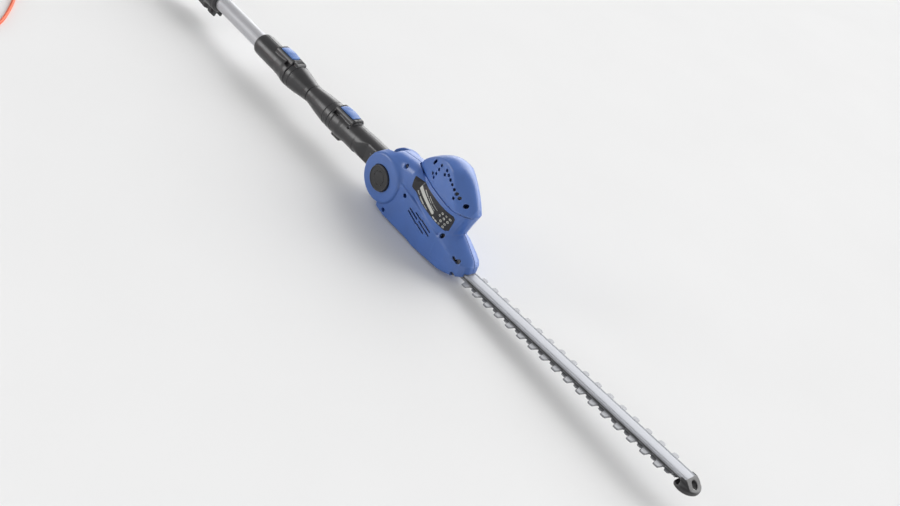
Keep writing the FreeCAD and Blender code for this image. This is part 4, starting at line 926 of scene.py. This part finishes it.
def tip_field(x, y, z):
    """Blunt end piece: a hood over the bar, a wide foot under the blades, a hanging hole."""
    side = np.abs(y)
    roof = 0.75 * (z - TIP_TOP + 0.9 * np.maximum(x - 669.5, 0))
    hood = smax(smax(np.hypot(x - TIP_X - 2, y) - 17.6, slab(z, -50, TIP_TOP), 2.2), 660.5 - x, 1.0)
    hood = smax(smax(hood, roof, 3.0), side - 13.4, 1.5)
    foot = smax(smax(np.hypot(x - TIP_X, y) - 19.4, slab(z, TIP_BOTTOM, -50.4), 2.8), 655.5 - x, 1.5)
    core = smax(smax(np.hypot(x - TIP_X, y) - 17.0, slab(z, -54, -44.5), 3.0), 662.5 - x, 0.8)
    core = smax(core, roof, 3.0)
    form = smin(smin(hood, core, 3.0), foot, 3.5)
    form = cut(form, block(x, y, z, ((600, BAR_FRONT), (-12.1, 12.1), (-46.3, -40.6)), 0.4), 0.3)
    form = cut(form, block(x, y, z, ((600, 663.6), (-40, 40), (-51.9, -45.8)), 0.3), 0.3)
    form = cut(form, smax(np.hypot(x - TIP_HOLE_X, y) - 7.6, z + 53.6, 0.4), 0.6)
    return cut(form, np.hypot(x - TIP_HOLE_X, y) - TIP_HOLE_R, 1.0)


make_blade("upper_blade", 226.6, 26.2, 7.4, 4.7, CRANK_X + 12, 648, -46.4, True)
make_blade("lower_blade", 240.6, 17.9, 5.8, 3.9, CRANK_X + 12, 652, -48.8, False)
make_bar()
moulded("tip_protector_skin", tip_field, (652, -27, -60), (694, 27, -37), 0.7, HEAD, "head",
        ["tip_protector"], "coupling_black")


# ------------------------------
# Rear handle
# ------------------------------
HANDLE_SIDE = [(-1000, 20), (-1000, -20), (-1050, -21), (-1068, -33), (-1084, -49.5), (-1094, -53.6),
               (-1240, -53.6), (-1278, -50.5), (-1290.5, -44), (-1291.6, -20), (-1291.6, 2), (-1283, 9.5),
               (-1262, 18.5), (-1200, 21.5), (-1120, 24), (-1080, 24.8), (-1030, 22.5)]
FINGER_SIDE = [(-1108, -17), (-1098, -42), (-1104, -46), (-1210, -46), (-1222, -38), (-1222, -20),
               (-1216, -14), (-1118, -14)]
TRIGGER_SIDE = [(-1116, -8), (-1116, -15), (-1122, -24), (-1134, -28), (-1150, -23), (-1156, -14),
                (-1156, -8)]
HANDLE_SCREWS = [(-1074, -24), (-1084, 12), (-1180, 12), (-1250, 4), (-1252, -40)]


def handle_field(x, y, z):
    side = np.abs(y)
    waist = 2.2 * np.exp(-((x + 1165) / 34) ** 2) * (z > -16)
    outer = smax(polygon(x, z, HANDLE_SIDE), side - 18.9 + waist, 9)
    barrel = smax(np.hypot(y, z) - 20.9, slab(x, -1080, -1000), 1.5)
    outer = smax(smin(outer, barrel, 2.0), side - 18.9, 0.8)
    outer = cut(outer, polygon(x, z, FINGER_SIDE), 5.0)
    form = cut(outer, smax(outer + 3.0, slab(x, -1276, -1066), 0.4), 0.4)
    form = cut(form, smax(np.hypot(y, z) - 17.4, slab(x, -1060, -980), 0.2), 0.6)
    form = cut(form, smax(polygon(x, z, TRIGGER_SIDE) - 0.7, side - 6.7, 0.2), 0.6)
    form = cut(form, block(x, y, z, ((-1118, -1098), (-6.4, 6.4), (14, 40)), 0.6), 0.6)
    form = cut(form, smax(np.hypot(y, z + 30) - 6.0, slab(x, -1310, -1270), 0.2), 0.6)
    for sx, sz in HANDLE_SCREWS:
        form = np.minimum(form, smax(disc(x, z, sx, sz, 4.6), side - 16.5, 0.3))
        form = cut(form, smax(disc(x, z, sx, sz, 3.3), 12.0 - side, 0.2), 0.8)
    for index in range(6):
        slit = -1246.8 + 6 * index
        form = cut(form, smax(segment(x, z, slit, -7, slit, 7) - 1.2, 14 - side, 0.2), 0.5)
    for index in range(9):
        at = -1188 + 6 * index
        form = cut(form, smax(smax(np.abs(x - at) - 0.9, 3.0 - z, 1.0), -(outer + 0.7), 0.2), 0.5)
    hook = np.minimum(block(x, y, z, ((-1304, -1284), (-4, 4), (2, 8)), 1.2),
                      block(x, y, z, ((-1304, -1299), (-4, 4), (-10, 8)), 1.2))
    return smin(form, hook, 1.0)


def trigger_field(x, y, z):
    form = smax(polygon(x, z, TRIGGER_SIDE) + 0.1, np.abs(y) - 5.9, 2.2)
    for centre in (-1128, -1134, -1140):
        form = cut(form, smax(np.abs(x - centre) - 0.8, z + 24.5, 0.3), 0.7)
    return cut(form, disc(x, z, -1119.5, -10.5, 1.6), 0.2)


def lock_off_field(x, y, z):
    form = block(x, y, z, ((-1117.4, -1098.6), (-5.8, 5.8), (15, 28.4)), 2.4)
    for centre in (-1112, -1108, -1104):
        form = cut(form, smax(np.abs(x - centre) - 0.7, 27.6 - z, 0.3), 0.5)
    return np.minimum(form, block(x, y, z, ((-1119.5, -1096.5), (-5.8, 5.8), (14.6, 17.0)), 0.5))


SLEEVE = ([(-1286, 3), (-1286, 5.8), (-1291.4, 5.8), (-1291.8, 6.6), (-1294, 6.8)]
          + [(-1296 - 4 * i - gap, 6.6 - 0.27 * i - dip) for i in range(8)
             for gap, dip in ((0, 0), (0.6, 0.9), (1.9, 0.9), (2.5, 0.1))]
          + [(-1329.5, 4.2), (-1330.6, 3.7), (-1330.6, 2.9), (-1286, 2.9)])


def sleeve_field(x, y, z):
    return polygon(x, np.hypot(y, z + 30), SLEEVE)


def make_handle():
    pole_piece("handle_shell_skin", handle_field, (-1307, -21, -57), (-997, 21, 27), 1.2, "pole_rear",
               ["handle_shell_left", "handle_shell_right"], "handle_black", True)
    pole_piece("trigger_skin", trigger_field, (-1159, -8, -31), (-1113, 8, -6), 0.6, "trigger", ["trigger"],
               "button_blue")
    pole_piece("lock_off_button_skin", lock_off_field, (-1122, -8, 12), (-1094, 8, 31), 0.6,
               "lock_off_button", ["lock_off_button"], "button_blue")
    pole_piece("cable_sleeve_ribbed", sleeve_field, (-1333, -9, -39), (-1284, 9, -21), 0.6, "pole_rear",
               ["cable_sleeve"], "handle_black")


make_handle()


# ------------------------------
# Lead: straight out of the sleeve, along the floor, into a coil, then the plug
# ------------------------------
CORD_D = 5.8
FLOOR_Z = -PIVOT.z / MM
CORD_Z = FLOOR_Z + CORD_D / 2
COIL_X, COIL_Y, COIL_MID_R = -762.0, -482.0, 52.0
COIL_COLUMNS, COIL_LAYERS, TURN_POINTS = 6, 4, 16
COIL_OUTER = COIL_MID_R + (COIL_COLUMNS - 1) * CORD_D / 2
ENTRY_Y = COIL_Y - COIL_OUTER
LEAD = [(-1330.6, 0, -30), (-1352, 0, -31.5), (-1378, -3, -40), (-1408, -14, CORD_Z),
        (-1440, -42, CORD_Z), (-1462, -86, CORD_Z), (-1463, -140, CORD_Z), (-1440, -190, CORD_Z),
        (-1398, -226, CORD_Z), (-1340, -247, CORD_Z), (-1268, -252, CORD_Z), (-1190, -243, CORD_Z),
        (-1108, -226, CORD_Z), (-1026, -217, CORD_Z), (-946, -222, CORD_Z), (-868, -240, CORD_Z),
        (-792, -267, CORD_Z), (-718, -302, CORD_Z), (-652, -336, CORD_Z), (-598, -371, CORD_Z),
        (-554, -407, CORD_Z), (-530, -452, CORD_Z), (-536, -501, CORD_Z), (-571, -535, CORD_Z),
        (-622, -549, CORD_Z), (-686, ENTRY_Y - 0.4, CORD_Z), (COIL_X, ENTRY_Y, CORD_Z)]
TAIL_Z = CORD_Z + CORD_D * (COIL_LAYERS - 1)
TAIL = [(-790, ENTRY_Y - 1.5, TAIL_Z - 2), (-820, ENTRY_Y - 0.5, TAIL_Z - 9),
        (-850, ENTRY_Y + 4, CORD_Z + 2.5), (-880, ENTRY_Y + 12, CORD_Z + 10.5)]


def coil_points():
    """Turns beside each other from the outside in, then on top from the inside out."""
    turns = COIL_COLUMNS * COIL_LAYERS
    points = []
    for index in range(1, turns * TURN_POINTS + 1):
        turn = index / TURN_POINTS
        layer = min(int(turn / COIL_COLUMNS), COIL_LAYERS - 1)
        column = turn - layer * COIL_COLUMNS
        across = min(column, COIL_COLUMNS - 1.0)
        if layer % 2:
            across = COIL_COLUMNS - 1 - across
        lift = max(0.0, column - (COIL_COLUMNS - 1)) if layer < COIL_LAYERS - 1 else 0.0
        radius = COIL_OUTER - CORD_D * across
        angle = -math.pi / 2 - 2 * math.pi * turn
        points.append((COIL_X + radius * math.cos(angle), COIL_Y + radius * math.sin(angle),
                       CORD_Z + CORD_D * (layer + lift)))
    return points


def make_lead():
    curve = bpy.data.curves.new("mains_lead", "CURVE")
    curve.dimensions = "3D"
    curve.bevel_depth = CORD_D * MM / 2
    curve.bevel_resolution = 4
    curve.use_fill_caps = True
    curve.resolution_u = 6
    spline = curve.splines.new("NURBS")
    points = LEAD + coil_points() + TAIL
    spline.points.add(len(points) - 1)
    for point, place in zip(spline.points, points):
        point.co = (*(POLE @ Vector(place)), 1)
    spline.order_u = 3
    spline.use_endpoint_u = True
    curve.materials.append(finishes["cord_orange"])
    lead = added("mains_lead", curve)
    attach(lead, "pole_rear")
    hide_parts("cord_lead", "cord_coil", "cord_tail")
    tuple(POLE @ Vector(LEAD[0]))


make_lead()


# ------------------------------
# Floor, light and camera
# ------------------------------
def make_floor():
    mesh = bpy.data.meshes.new("floor")
    half = 30.0
    corners = [(-half, -half, 0), (half, -half, 0), (half, half, 0), (-half, half, 0)]
    mesh.from_pydata(corners, [], [(0, 1, 2, 3)])
    tree, shader = new_material("studio_floor")
    patches = noise(tree, object_coordinates(tree), 3, 2)
    tint = ramp(tree, patches, [(0.3, (0.80, 0.80, 0.80)), (0.7, (0.815, 0.815, 0.815))])
    tree.links.new(tint, shader.inputs["Base Color"])
    shader.inputs["Roughness"].default_value = 0.9
    shader.inputs["Specular IOR Level"].default_value = 0.1
    mesh.materials.append(finishes["studio_floor"])
    added("floor", mesh)


def sunlight(name, direction, angle, energy):
    """Light from far off towards the origin, seen as a disc of an angle in degrees."""
    light = bpy.data.lights.new(name, "SUN")
    light.energy = energy
    light.angle = math.radians(angle)
    added(name, light).rotation_euler = Vector(direction).to_track_quat("Z", "Y").to_euler()


def make_lights():
    """Even surroundings with one broad bright side, and a low light for the streaks."""
    world = bpy.data.worlds.new("studio")
    world.use_nodes = True
    bpy.context.scene.world = world
    tree = world.node_tree
    direction = node(tree, "ShaderNodeTexCoord")
    parts = node(tree, "ShaderNodeSeparateXYZ")
    tree.links.new(direction.outputs["Generated"], parts.inputs["Vector"])
    side = spread(tree, parts.outputs["Y"], 0.44, 3.2, 0.42, 0.66, interpolation_type="SMOOTHSTEP")
    tree.nodes["Background"].inputs["Color"].default_value = (1, 1, 1, 1)
    tree.links.new(side, tree.nodes["Background"].inputs["Strength"])
    sunlight("fill", (0, 0.57, 0.82), 40, 0.38)
    sunlight("streak", (-0.66, -0.72, 0.22), 26, 0.72)


CAMERA_PLACE = Vector((1.35203, -1.21233, 0.95470))
CAMERA_RIGHT = Vector((0.607876, 0.709397, 0.356710))
CAMERA_UP = Vector((-0.621237, 0.145114, 0.770069))
LENS = 45.46
SENSOR = 36.0


def make_camera():
    data = bpy.data.cameras.new("camera")
    data.lens = LENS
    data.sensor_width = SENSOR
    data.clip_end = 100
    camera = added("camera", data)
    turn = Matrix((CAMERA_RIGHT, CAMERA_UP, CAMERA_RIGHT.cross(CAMERA_UP))).transposed()
    camera.matrix_world = Matrix.Translation(CAMERA_PLACE) @ turn.to_4x4()
    bpy.context.scene.camera = camera
    bpy.context.scene.view_settings.view_transform = "Standard"


make_floor()
make_lights()
make_camera()
